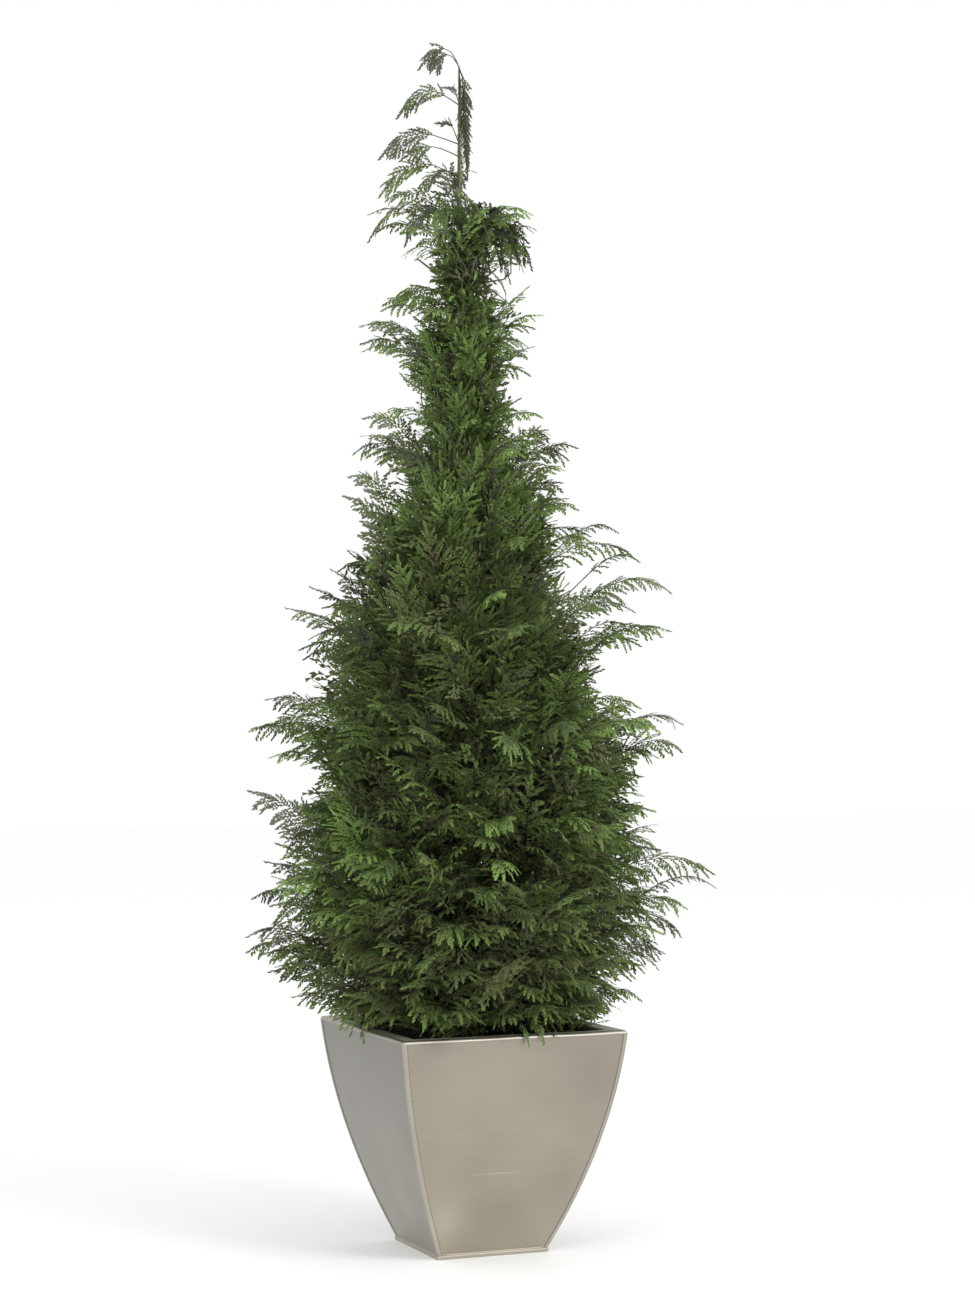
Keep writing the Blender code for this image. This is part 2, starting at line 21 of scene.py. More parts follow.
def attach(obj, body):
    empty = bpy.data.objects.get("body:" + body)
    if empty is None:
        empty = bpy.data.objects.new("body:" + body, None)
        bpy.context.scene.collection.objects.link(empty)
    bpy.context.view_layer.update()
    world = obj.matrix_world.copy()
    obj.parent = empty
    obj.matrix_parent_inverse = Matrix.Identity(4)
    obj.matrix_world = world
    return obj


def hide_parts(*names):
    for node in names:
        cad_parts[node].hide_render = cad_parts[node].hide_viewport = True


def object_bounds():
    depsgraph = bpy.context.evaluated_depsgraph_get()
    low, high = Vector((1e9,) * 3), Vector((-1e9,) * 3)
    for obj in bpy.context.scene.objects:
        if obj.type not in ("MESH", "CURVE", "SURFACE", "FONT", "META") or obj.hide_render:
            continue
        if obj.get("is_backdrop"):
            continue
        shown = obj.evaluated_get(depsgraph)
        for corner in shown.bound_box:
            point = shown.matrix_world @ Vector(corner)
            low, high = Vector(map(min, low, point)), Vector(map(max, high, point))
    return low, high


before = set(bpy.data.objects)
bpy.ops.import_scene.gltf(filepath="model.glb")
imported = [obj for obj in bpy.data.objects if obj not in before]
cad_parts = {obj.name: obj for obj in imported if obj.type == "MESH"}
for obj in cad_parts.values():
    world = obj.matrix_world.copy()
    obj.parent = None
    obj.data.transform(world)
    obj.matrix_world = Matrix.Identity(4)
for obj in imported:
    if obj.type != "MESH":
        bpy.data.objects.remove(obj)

logging.basicConfig(level=logging.INFO, format="%(message)s")
LOG = logging.getLogger("potted_conifer")
BODY = "root"

BROAD = math.radians(-22.4)  # the side where the low boughs reach furthest; the leader leans away from it
NARROW = BROAD + math.pi
SWIRL = 1.4  # radians for each metre out from the trunk, to one side and the other by turns
SWIRL_CENTRE = 0.33
PATH_POINTS = 14  # along each shoot
FROND_POINTS = 7  # along each frond
UP = np.array((0.0, 0.0, 1.0))


# ---------------------------------------------------------------- finishes


class Nodes:
    """The nodes of one material, and the shader that they feed."""

    def __init__(self, material: bpy.types.Material) -> None:
        """Takes up a material's nodes."""
        self.tree = material.node_tree
        self.shader = self.tree.nodes["Principled BSDF"]

    def feed(self, node: bpy.types.ShaderNode, inputs: dict[str, object]) -> None:
        """Sets some inputs of a node.

        Args:
            node: the node.
            inputs: for each its name, and a value or the socket that it reads.
        """
        for name, given in inputs.items():
            if isinstance(given, bpy.types.NodeSocket):
                self.tree.links.new(given, node.inputs[name])
            else:
                node.inputs[name].default_value = given

    def new(self, kind: str, inputs: dict[str, object], **options: str) -> bpy.types.NodeSocket:
        """Adds a node.

        Args:
            kind: its type.
            inputs: what its inputs are fed.
            options: its own settings.

        Returns:
            Its first output that is in use.
        """
        made = self.tree.nodes.new("ShaderNode" + kind)
        for name, choice in options.items():
            setattr(made, name, choice)
        self.feed(made, inputs)
        return next(output for output in made.outputs if output.enabled)

    def place(self) -> bpy.types.NodeSocket:
        """Adds the object's own coordinates."""
        return self.tree.nodes.new("ShaderNodeTexCoord").outputs["Object"]

    def noise(self, stretch: tuple[float, float, float], scale: float, detail: float) -> bpy.types.NodeSocket:
        """Adds a noise over the object's own coordinates.

        Args:
            stretch: how many times finer it is along each axis.
            scale: its fineness, in waves to the metre.
            detail: how many finer layers it has.

        Returns:
            Its height, from 0 to 1.
        """
        spread = self.new("Mapping", {"Vector": self.place(), "Scale": stretch})
        return self.new("TexNoise", {"Vector": spread, "Scale": scale, "Detail": detail})

    def ramp(
        self, source: bpy.types.NodeSocket, stops: Sequence[tuple[float, Sequence[float]]]
    ) -> bpy.types.NodeSocket:
        """Adds a colour ramp.

        Args:
            source: what it reads.
            stops: (position, colour) pairs.

        Returns:
            Its colour.
        """
        made = self.tree.nodes.new("ShaderNodeValToRGB")
        places = made.color_ramp.elements
        while len(places) < len(stops):
            places.new(0.5)
        for place, (position, colour) in zip(places, stops):
            place.position = position
            place.color = (*colour, 1)
        self.feed(made, {"Fac": source})
        return made.outputs["Color"]

    def times(self, first: bpy.types.NodeSocket, second: bpy.types.NodeSocket) -> bpy.types.NodeSocket:
        """Multiplies two colours."""
        inputs = {"Factor": 1.0, "A": first, "B": second}
        return self.new("Mix", inputs, data_type="RGBA", blend_type="MULTIPLY")

    def bump(self, height: bpy.types.NodeSocket, depth: float) -> None:
        """Gives the shader a bump of a depth in metres."""
        normal = self.new("Bump", {"Strength": 1.0, "Distance": depth, "Height": height})
        self.feed(self.shader, {"Normal": normal})


@dataclass(frozen=True)
class Finish:
    """A plain finish: one colour, as dull or as bright all over."""

    name: str
    colour: tuple[float, float, float]
    roughness: float
    metallic: float = 0.0
    gloss: float = 0.5

    def material(self) -> bpy.types.Material:
        """Returns the finish as a material, made once."""
        made = bpy.data.materials.get(self.name)
        if made is None:
            made = bpy.data.materials.new(self.name)
            made.use_nodes = True
            nodes = Nodes(made)
            plain = {"Base Color": (*self.colour, 1), "Roughness": self.roughness}
            nodes.feed(nodes.shader, plain | {"Metallic": self.metallic, "Specular IOR Level": self.gloss})
            self.pattern(nodes)
        return made

    def shade(self, share: float) -> list[float]:
        """The colour made darker, or lighter as far as white."""
        return [min(part * share, 1.0) for part in self.colour]

    def pattern(self, nodes: Nodes) -> None:
        """Adds what varies over the surface. A plain finish has nothing."""


@dataclass(frozen=True)
class ReflectionPatchAndScratch:
    """A placed soft patch of painted reflection on a panel, lighter or darker than the steel; the thin one is
    a scratch in the brushing instead.
    """

    middle: tuple[float, float, float]
    half_size: tuple[float, float, float]
    strength: float  # of the steel's own colour in its middle; under 1 a dark painted reflection, over 1 a light painted reflection, and for the thin scratch its lighter line

    def patch(self, nodes: Nodes) -> bpy.types.NodeSocket:
        """Adds the patch to a material.

        Args:
            nodes: the material's.

        Returns:
            What the steel's colour is multiplied by.
        """
        scale = [1 / size for size in self.half_size]
        shift = [-spot / size for spot, size in zip(self.middle, self.half_size)]
        turned = nodes.new("Mapping", {"Vector": nodes.place(), "Scale": scale, "Location": shift})
        ball = nodes.tree.nodes.new("ShaderNodeTexGradient")
        ball.gradient_type = "QUADRATIC_SPHERE"
        nodes.feed(ball, {"Vector": turned})
        return nodes.ramp(ball.outputs["Fac"], [(0.0, (1.0, 1.0, 1.0)), (0.8, (self.strength,) * 3)])


# Placed patches of painted reflection on the panels, lighter or darker, and one thin scratch (the sixth row)
REFLECTION_PATCHES_AND_SCRATCH = (
    ReflectionPatchAndScratch((0.020, -0.150, 0.075), (0.105, 0.080, 0.105), 0.86),
    ReflectionPatchAndScratch((0.115, -0.160, 0.130), (0.090, 0.090, 0.150), 0.88),
    ReflectionPatchAndScratch((-0.100, -0.140, 0.055), (0.070, 0.080, 0.110), 1.26),
    ReflectionPatchAndScratch((-0.150, -0.200, 0.385), (0.055, 0.050, 0.030), 0.80),
    ReflectionPatchAndScratch((0.150, -0.200, 0.330), (0.150, 0.080, 0.160), 0.87),
    ReflectionPatchAndScratch((-0.014, -0.166, 0.153), (0.072, 0.060, 0.0025), 1.45),
    ReflectionPatchAndScratch((-0.050, 0.160, 0.110), (0.100, 0.080, 0.120), 0.86),
    ReflectionPatchAndScratch((0.165, 0.030, 0.210), (0.080, 0.110, 0.120), 0.88),
    ReflectionPatchAndScratch((-0.150, -0.030, 0.070), (0.080, 0.090, 0.100), 1.12),
)


@dataclass(frozen=True)
class BrushedSteel(Finish):
    """Stainless sheet, brushed level, with soft cloudy patches, a painted reflection that darkens it towards
    the rim, and placed patches of painted reflection with one scratch.
    """

    painted_reflection_by_height: tuple[float, float, float] = (1.0, 0.94, 0.85)  # painted reflection: the share of its colour at the three heights, lighter near the foot
    heights: tuple[float, float, float] = (0.03, 0.22, 0.40)  # where the painted reflection has those shares: near the foot, half way up, at the rim
    line_share: float = 0.42  # of the brush lines, against the clouds
    darkest: float = 0.89  # of its colour, in a streak
    lightest: float = 1.09
    line_depth: float = 0.00006

    def pattern(self, nodes: Nodes) -> None:
        """Adds the brush lines, the cloudy patches, the painted reflection by height, and the placed patches
        of painted reflection with the scratch.

        Args:
            nodes: the material's.
        """
        lines = nodes.noise((1.0, 1.0, 90.0), 14.0, 3.0)
        cloud = nodes.noise((1.0, 1.0, 1.0), 6.0, 2.0)
        both = nodes.new("Mix", {"Factor": self.line_share, "A": cloud, "B": lines})
        streaks = [(0.32, self.shade(self.darkest)), (0.68, self.shade(self.lightest))]
        tint = nodes.ramp(both, streaks)
        axes = nodes.tree.nodes.new("ShaderNodeSeparateXYZ")
        nodes.feed(axes, {"Vector": nodes.place()})
        # painted reflection by height: lighter near the foot, darker towards the rim
        reflection_ramp = [(height, (part, part, part)) for height, part in zip(self.heights, self.painted_reflection_by_height)]
        colour = nodes.times(tint, nodes.ramp(axes.outputs["Z"], reflection_ramp))
        # the placed patches of painted reflection, and the scratch
        for reflection_and_scratch in REFLECTION_PATCHES_AND_SCRATCH:
            colour = nodes.times(colour, reflection_and_scratch.patch(nodes))
        range_of = {"Value": both, "To Min": self.roughness - 0.05, "To Max": self.roughness + 0.07}
        nodes.feed(nodes.shader, {"Base Color": colour, "Roughness": nodes.new("MapRange", range_of)})
        nodes.bump(lines, self.line_depth)


@dataclass(frozen=True)
class Bark(Finish):
    """Thin stringy bark, red-brown with grey shreds."""

    fineness: float = 190.0  # of the shreds, in waves to the metre
    stretch: float = 0.12  # of that along the stem
    darkest: float = 0.45  # of its colour, between the shreds
    relief: float = 0.0006

    def pattern(self, nodes: Nodes) -> None:
        """Adds the shreds.

        Args:
            nodes: the material's.
        """
        shreds = nodes.noise((1.0, 1.0, self.stretch), self.fineness, 5.0)
        grey = [0.5 * part + 0.10 for part in self.colour]
        stops = [(0.34, self.shade(self.darkest)), (0.52, self.colour), (0.70, grey)]
        nodes.feed(nodes.shader, {"Base Color": nodes.ramp(shreds, stops)})
        nodes.bump(shreds, self.relief)


@dataclass(frozen=True)
class Earth(Finish):
    """Dark potting soil with pale specks."""

    fineness: float = 260.0  # of the grains, in waves to the metre
    darkest: float = 0.6  # of its colour
    palest: float = 3.0
    relief: float = 0.002

    def pattern(self, nodes: Nodes) -> None:
        """Adds the specks.

        Args:
            nodes: the material's.
        """
        grains = nodes.noise((1.0, 1.0, 1.0), self.fineness, 4.0)
        stops = [(0.40, self.shade(self.darkest)), (0.60, self.colour), (0.74, self.shade(self.palest))]
        nodes.feed(nodes.shader, {"Base Color": nodes.ramp(grains, stops)})
        nodes.bump(grains, self.relief)


BARK = Bark("stringy_bark", (0.108, 0.080, 0.058), 0.85)
EARTH = Earth("potting_soil", (0.030, 0.027, 0.024), 0.95)
FLOOR = Finish("studio_floor", (0.98, 0.98, 0.98), 0.9)


class Slotted(Enum):
    """The finishes that one piece has side by side, in the order of its material slots."""

    @property
    def slot(self) -> int:
        """The number of its slot."""
        return list(type(self)).index(self)

    @classmethod
    def finishes(cls) -> list[Finish]:
        """Returns them all, in order."""
        return [choice.value for choice in cls]


class Steel(Slotted):
    """The pot's panels, by pairs, its polished borders, its flange and the groove round a panel. The two
    pairs of panels are tinted apart, and darken differently towards the rim, as painted reflection; the
    flange is paler and half metallic as a painted highlight; the groove is dark as painted shade.
    """

    # WARM and COOL: tinted copies of one steel for the Y and the X panels, as painted reflection
    WARM = BrushedSteel("warm_brushed_steel", (0.398, 0.362, 0.296), 0.38, 1.0, painted_reflection_by_height=(1.0, 0.93, 0.77))
    COOL = BrushedSteel("cool_brushed_steel", (0.392, 0.370, 0.333), 0.38, 1.0, painted_reflection_by_height=(1.0, 0.77, 0.59))
    EDGE = BrushedSteel("folded_steel", (0.45, 0.42, 0.355), 0.42, 1.0)
    # paler and half metallic so the flange shows light: painted highlight on the rim
    FLANGE_HIGHLIGHT = BrushedSteel("flange_steel", (0.50, 0.48, 0.42), 0.5, 0.5)
    # dark steel on the recess walls round each panel: painted shade in the groove
    GROOVE_SHADE = BrushedSteel("groove_steel", (0.20, 0.19, 0.16), 0.5, 1.0)


class Twig(Slotted):
    """The twigs' thin bark."""

    # darker than the trunk's bark: partly the twigs' own dark brown, partly painted shade that sinks them
    # into the crown
    BROWN = Finish("twig_bark", (0.044, 0.036, 0.026), 0.8)
    GREEN = Finish("young_twig", (0.060, 0.070, 0.030), 0.7)


class Tint(Slotted):
    """The leaf colours, from the shaded inside of the crown to its freshest tips."""

    SHADE = Finish("leaf_shade", (0.112, 0.130, 0.056), 0.8, gloss=0.1)
    DULL = Finish("leaf_dull", (0.122, 0.138, 0.052), 0.75, gloss=0.15)
    DEEP = Finish("leaf_deep", (0.100, 0.142, 0.046), 0.7, gloss=0.15)
    # GREYED and PALE are painted backlight: the grey of thin tips seen against the white surround, GREYED
    # their shade and PALE their paler grey; mostly dealt at the outline and on the top, and GREYED also to
    # some sprays within the outline
    GREYED = Finish("leaf_greyed", (0.092, 0.102, 0.068), 0.75, gloss=0.1)
    PALE = Finish("leaf_pale", (0.180, 0.195, 0.140), 0.75, gloss=0.1)
    MIDDLE = Finish("leaf_middle", (0.136, 0.200, 0.056), 0.68, gloss=0.15)
    FRESH = Finish("leaf_fresh", (0.170, 0.260, 0.070), 0.65, gloss=0.15)
    BRIGHT = Finish("leaf_bright", (0.190, 0.305, 0.075), 0.65, gloss=0.15)


SHADE, DULL, DEEP, GREYED, PALE, MIDDLE, FRESH, BRIGHT = Tint
# Each row: the share of the sprays, the colour of their older leaves, that of their younger ones
TintTable = tuple[tuple[float, Tint, Tint], ...]
OUTER_TINTS = (
    (0.34, DEEP, MIDDLE), (0.22, MIDDLE, FRESH), (0.22, DEEP, DEEP), (0.07, MIDDLE, BRIGHT),
    (0.12, DULL, MIDDLE), (0.03, FRESH, BRIGHT),
)
MIDDLE_TINTS = (
    (0.42, DEEP, MIDDLE), (0.20, MIDDLE, FRESH), (0.20, DEEP, DEEP), (0.04, MIDDLE, BRIGHT),
    (0.08, DULL, MIDDLE), (0.06, GREYED, MIDDLE),
)
HIGH_TINTS = (
    (0.42, MIDDLE, FRESH), (0.22, DEEP, MIDDLE), (0.16, GREYED, MIDDLE), (0.20, MIDDLE, BRIGHT),
)
LOW_TINTS = (
    (0.36, DEEP, MIDDLE), (0.24, DULL, MIDDLE), (0.14, DULL, DULL), (0.12, MIDDLE, FRESH),
    (0.14, DEEP, DEEP),
)
# the sprays that stand out of the outline, in greys that paint backlit tips
EDGE_TINTS = (
    (0.30, GREYED, PALE), (0.25, MIDDLE, PALE), (0.25, DEEP, GREYED), (0.20, MIDDLE, FRESH),
)
# the sprays on the bare top, mostly in GREYED as painted shade of backlit tips
LEADER_TINTS = (
    (0.35, GREYED, GREYED), (0.35, DEEP, GREYED), (0.30, DEEP, MIDDLE),
)
INNER_TINTS = ((0.7, SHADE, SHADE), (0.3, SHADE, DEEP))
FRESH_TIPS = (MIDDLE, BRIGHT)
BRIGHT_TIPS = (FRESH, BRIGHT)
# pale grey tips for shoots at the back outline: painted backlight
PALE_TIPS = (MIDDLE, PALE)


def deal(draw: random.Random, table: TintTable) -> tuple[Tint, Tint]:
    """Deals a spray its two colours.

    Args:
        draw: the source of chance.
        table: what is dealt from.

    Returns:
        The colours of its older and its younger leaves.
    """
    left = draw.random()
    for share, old, young in table:
        left -= share
        if left < 0:
            return old, young
    return table[0][1:]


# ---------------------------------------------------------------- meshes


def clear_selection() -> None:
    """Leaves edit mode and selects nothing."""
    if bpy.context.object and bpy.context.object.mode != "OBJECT":
        bpy.ops.object.mode_set(mode="OBJECT")
    bpy.ops.object.select_all(action="DESELECT")


def take_up(obj: bpy.types.Object) -> None:
    """Makes an object the active one, and the only one selected."""
    clear_selection()
    obj.select_set(True)
    bpy.context.view_layer.objects.active = obj


class Part(Enum):
    """What an edit picks out of a mesh."""

    FACE = "faces"
    EDGE = "edges"


def select_in_edit(chosen: Callable[[object], bool], kind: Part) -> None:
    """Selects the faces or edges of the object in edit mode that pass a test.

    Args:
        chosen: the test.
        kind: which of the two.
    """
    mesh = bpy.context.object.data
    bpy.ops.mesh.select_mode(type=kind.name)
    bpy.ops.mesh.select_all(action="DESELECT")
    bm = bmesh.from_edit_mesh(mesh)
    for part in getattr(bm, kind.value):
        if chosen(part):
            part.select_set(True)
    bm.select_flush_mode()
    bmesh.update_edit_mesh(mesh)


def climb_of(edge: bmesh.types.BMEdge) -> float:
    """How far one end of an edge stands above the other."""
    return abs(edge.verts[0].co.z - edge.verts[1].co.z)


def move_vertices(obj: bpy.types.Object, place: Callable[[Vector], Vector]) -> None:
    """Moves each vertex of a mesh.

    Args:
        obj: the object, in object mode.
        place: gives a vertex its new place.
    """
    for vert in obj.data.vertices:
        vert.co = place(vert.co.copy())
    obj.data.update()


def finish_piece(
    obj: bpy.types.Object, name: str, finishes: Sequence[Finish], angle: float
) -> None:
    """Names a piece, puts its place into its mesh, turns its faces outwards and shades it.

    Args:
        obj: the piece.
        name: its name.
        finishes: its material slots.
        angle: edges sharper than this stay sharp, in degrees.
    """
    take_up(obj)
    bpy.ops.object.transform_apply(location=True, rotation=True, scale=True)
    bpy.ops.object.mode_set(mode="EDIT")
    bpy.ops.mesh.select_all(action="SELECT")
    bpy.ops.mesh.normals_make_consistent(inside=False)
    bpy.ops.object.mode_set(mode="OBJECT")
    bpy.ops.object.shade_smooth_by_angle(angle=math.radians(angle))
    obj.name = obj.data.name = name
    kept = [poly.material_index for poly in obj.data.polygons]
    obj.data.materials.clear()
    for finish in finishes:
        obj.data.materials.append(finish.material())
    obj.data.polygons.foreach_set("material_index", kept)
    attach(obj, BODY)
    LOG.info("%s: %d faces", name, len(obj.data.polygons))


def apply_modifiers(obj: bpy.types.Object) -> None:
    """Applies all modifiers of an object, in order."""
    take_up(obj)
    for modifier in list(obj.modifiers):
        bpy.ops.object.modifier_apply(modifier=modifier.name)


def unit(way: np.ndarray) -> np.ndarray:
    """The same direction with a length of one, row by row."""
    return way / np.linalg.norm(way, axis=-1, keepdims=True)


def read_line(rows: np.ndarray, shares: float | np.ndarray) -> np.ndarray:
    """Reads a line between its points.

    Args:
        rows: a point or a direction at each even step along it, (n, 3).
        shares: how far along it, from 0 to 1.

    Returns:
        What it has there, (3,) for one share and (m, 3) for m.
    """
    steps = np.linspace(0, 1, len(rows))
    return np.stack([np.interp(shares, steps, rows[:, i]) for i in range(3)], axis=-1)


class Gathered:
    """Points and faces from arrays, joined into one mesh."""

    def __init__(self) -> None:
        """Starts empty."""
        self.points: list[np.ndarray] = []
        self.corners: list[np.ndarray] = []
        self.sizes: list[np.ndarray] = []
        self.marks: list[np.ndarray] = []
        self.count = 0

    def add(self, points: np.ndarray, marks: np.ndarray | int, *groups: np.ndarray) -> None:
        """Adds some faces.

        Args:
            points: their points, (n, 3).
            marks: the material slot of each face, or of them all.
            groups: the points of each face, (m, corners), those with as many corners in one array.
        """
        self.points.append(points.reshape(-1, 3))
        for faces in groups:
            self.corners.append((faces + self.count).ravel())
            self.sizes.append(np.full(len(faces), faces.shape[1]))
            self.marks.append(np.full(len(faces), marks))
        self.count += len(self.points[-1])

    def make(self, name: str, finishes: Sequence[Finish], slot: str) -> bpy.types.Object:
        """Makes the joined mesh as a piece on the plant's body.

        Args:
            name: the piece's name.
            finishes: its material slots.
            slot: not used.

        Returns:
            The piece.
        """
        points, corners = np.concatenate(self.points), np.concatenate(self.corners)
        sizes, marks = np.concatenate(self.sizes), np.concatenate(self.marks)
        mesh = bpy.data.meshes.new(name)
        mesh.vertices.add(len(points))
        mesh.vertices.foreach_set("co", points.astype(np.float32).ravel())
        mesh.loops.add(len(corners))
        mesh.loops.foreach_set("vertex_index", corners.astype(np.int32))
        mesh.polygons.add(len(sizes))
        starts = np.cumsum(sizes) - sizes
        mesh.polygons.foreach_set("loop_start", starts.astype(np.int32))
        for finish in finishes:
            mesh.materials.append(finish.material())
        mesh.polygons.foreach_set("material_index", marks.astype(np.int32))
        mesh.update(calc_edges=True)
        mesh.validate()
        obj = bpy.data.objects.new(name, mesh)
        bpy.context.scene.collection.objects.link(obj)
        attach(obj, BODY)
        LOG.info("%s: %d triangles", name, int((sizes - 2).sum()))
        return obj


# ---------------------------------------------------------------- the pot


@dataclass
class Pot:
    """A square, tapering pot of folded sheet whose sides bulge, on a thin foot plate."""

    height: float = 0.395
    rim_width: float = 0.420
    foot_width: float = 0.207
    straight_share: float = 0.36
    sheet: float = 0.002
    flange: float = 0.032
    fold_radius: float = 0.006
    fold_steps: int = 4
    plate_width: float = 0.210
    plate_height: float = 0.007
    gap: float = 0.0003
    rows: int = 40
    columns: int = 24
    border: float = 0.0068  # the folded edge left beside a panel
    recess: float = 0.0011  # of a panel between its borders
    corner_radius: float = 0.0032
    skin: float = 0.0012  # the thickness given to the sheet's outer face
    panel_wave: float = 0.0022
    rim_wave: float = 0.0011
    lip: tuple[tuple[float, float], ...] = ((0.002, 0.0012), (0.0, 0.003), (0.0, 0.009))
    plate_inset: float = 0.004
    plate_radius: float = 0.0016
    polished_below: float = 0.0015  # how far under the fold the polished edge starts
    margin: float = 0.0005  # within which a place counts as the same

    def half_width(self, height: float) -> float:
        """Half the pot's outer width.

        Args:
            height: above the ground.

        Returns:
            Half the width there.
        """
        depth = (self.height - height) / (self.height - self.plate_height)
        taper = self.straight_share * depth + (1 - self.straight_share) * depth**2
        return (self.rim_width - (self.rim_width - self.foot_width) * taper) / 2

    def build(self) -> None:
        """Builds the shell and the foot plate, and takes the place of their solids."""
        shell = self._walls()
        self._recess_panels(shell)
        self._fold_rim(shell)
        self._thicken(shell)
        self._deal_finishes(shell)
        finish_piece(shell, "pot_panels", Steel.finishes(), 38)
        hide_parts("pot_shell")
        plate = self._plate()
        finish_piece(plate, "pot_plate", [Steel.EDGE.value], 38)
        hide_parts("pot_foot")

    def _walls(self) -> bpy.types.Object:
        """Returns four plain walls and a bottom, cut into rows and columns and drawn in to the profile."""
        low, high = self.plate_height + self.gap, self.height - self.fold_radius
        clear_selection()
        bpy.ops.mesh.primitive_cube_add(size=1.0, location=(0, 0, 0.5))
        shell = bpy.context.object
        bpy.ops.object.transform_apply(location=True)
        bpy.ops.object.mode_set(mode="EDIT")
        select_in_edit(lambda face: face.calc_center_median().z > 0.99, Part.FACE)
        bpy.ops.mesh.delete(type="ONLY_FACE")
        select_in_edit(lambda edge: climb_of(edge) > 0.5, Part.EDGE)
        bpy.ops.mesh.subdivide(number_cuts=self.rows - 1)
        select_in_edit(lambda edge: climb_of(edge) < 0.001, Part.EDGE)
        bpy.ops.mesh.subdivide(number_cuts=self.columns - 1)
        bpy.ops.object.mode_set(mode="OBJECT")

        def place(point: Vector) -> Vector:
            """Draws a point of the unit cube in to the pot's curved side."""
            row = round(point.z * self.rows)
            height = low + (high - low) * row / self.rows
            half = self.half_width(height)
            flat = [self._column(share, half) for share in (point.x, point.y)]
            return Vector((*flat, height))

        move_vertices(shell, place)
        return shell

    def _column(self, share: float, half: float) -> float:
        """Where a column line stands: the outer ones keep to the borders.

        Args:
            share: from -0.5 to 0.5 across the side.
            half: half the side's width there.

        Returns:
            Its distance from the middle.
        """
        step = round((share + 0.5) * self.columns)
        inner = half - self.border
        if step in (0, self.columns):
            return math.copysign(half, share)
        return -inner + 2 * inner * (step - 1) / (self.columns - 2)

    def _recess_panels(self, shell: bpy.types.Object) -> None:
        """Sinks the middle of each side a little between its folded borders, and waves it."""
        top = self.height - self.fold_radius
        take_up(shell)
        bpy.ops.object.mode_set(mode="EDIT")
        for axis in (0, 1):
            for hand in (-1, 1):

                def in_panel(face: bmesh.types.BMFace) -> bool:
                    """Whether a face lies inside the borders of this side."""
                    middle = face.calc_center_median()
                    half = self.half_width(middle.z)
                    return (
                        hand * face.normal[axis] > 0.5
                        and abs(middle[1 - axis]) < half - self.border
                        and middle.z > self.plate_height + self.gap
                    )

                select_in_edit(in_panel, Part.FACE)
                bpy.ops.mesh.inset(thickness=self.recess, depth=-self.recess, use_boundary=True)
        bpy.ops.object.mode_set(mode="OBJECT")

        def wave(point: Vector) -> Vector:
            """Lets the sheet waver a little, least at its edges."""
            half = self.half_width(point.z)
            axis = 0 if abs(point.x) > abs(point.y) else 1
            across = point[1 - axis] / half
            rise = (point.z - self.plate_height) / (top - self.plate_height)
            hold = max(0.0, 1 - across**4) * max(0.0, 4 * rise * (1 - rise)) if abs(across) < 0.97 else 0.0
            wavy = noise.noise(Vector((point.x * 7, point.y * 7, point.z * 5 + 3)))
            point[axis] += math.copysign(self.panel_wave * wavy * hold, point[axis])
            return point

        move_vertices(shell, wave)

    def _fold_rim(self, shell: bpy.types.Object) -> None:
        """Rolls the top edge over into a flange that runs inwards, mitred at the corners."""
        start = self.height - self.fold_radius
        half = self.half_width(start)

        def at_top(edge: bmesh.types.BMEdge) -> bool:
            """Whether an edge lies along the top of the walls."""
            return edge.is_boundary and min(end.co.z for end in edge.verts) > start - self.margin

        take_up(shell)
        bpy.ops.object.mode_set(mode="EDIT")
        select_in_edit(at_top, Part.EDGE)
        sections = []
        for i in range(1, self.fold_steps + 1):
            turn = math.pi / 2 * i / self.fold_steps
            width = half - self.fold_radius * (1 - math.cos(turn))
            sections.append((width, start + self.fold_radius * math.sin(turn)))
        inner = self.rim_width / 2 - self.flange
        sections.append(((sections[-1][0] + inner) / 2, self.height - self.lip[0][1] / 2))
        sections += [(inner + out, self.height - down) for out, down in self.lip]
        now, level = half, start
        for width, height in sections:
            bpy.ops.mesh.extrude_edges_move()
            share = width / now
            bpy.ops.transform.resize(value=(share, share, 1.0), center_override=(0, 0, 0))
            bpy.ops.transform.translate(value=(0, 0, height - level))
            now, level = width, height
        bpy.ops.object.mode_set(mode="OBJECT")

        def waver(point: Vector) -> Vector:
            """Lets the long rim rise and fall by a hair."""
            if point.z > start + 0.001:
                point.z += self.rim_wave * (noise.noise(Vector((point.x * 9, point.y * 9, 1.7))) - 0.15)
            return point

        move_vertices(shell, waver)

    def _thicken(self, shell: bpy.types.Object) -> None:
        """Gives the sheet its thickness and rounds its folded corners."""
        wall = shell.modifiers.new("sheet", "SOLIDIFY")
        wall.thickness = self.skin
        wall.offset = -1.0
        wall.use_even_offset = True
        soft = shell.modifiers.new("corners", "BEVEL")
        soft.limit_method = "ANGLE"
        soft.angle_limit = math.radians(60)
        soft.width = self.corner_radius
        soft.segments = 3
        soft.use_clamp_overlap = True
        apply_modifiers(shell)

    def _deal_finishes(self, shell: bpy.types.Object) -> None:
        """Gives each face its slot: the two pairs of panels, tinted apart as painted reflection, their
        grooves, dark as painted shade, and borders, and the flange, paler as a painted highlight.
        """
        fold = self.height - self.fold_radius
        flange_from = self.half_width(fold) - self.fold_radius
        for face in shell.data.polygons:
            middle = face.center
            axis = 0 if abs(middle.x) > abs(middle.y) else 1
            inset = self.half_width(middle.z) - self.border - abs(middle[1 - axis])
            if 0 < inset < self.recess and middle.z < fold - self.polished_below:
                steel = Steel.GROOVE_SHADE
            elif middle.z > fold - 0.0002 and abs(middle[axis]) < flange_from:
                steel = Steel.FLANGE_HIGHLIGHT
            elif middle.z > fold - self.polished_below or inset < -self.margin:
                steel = Steel.EDGE
            else:
                steel = Steel.WARM if axis else Steel.COOL
            face.material_index = steel.slot

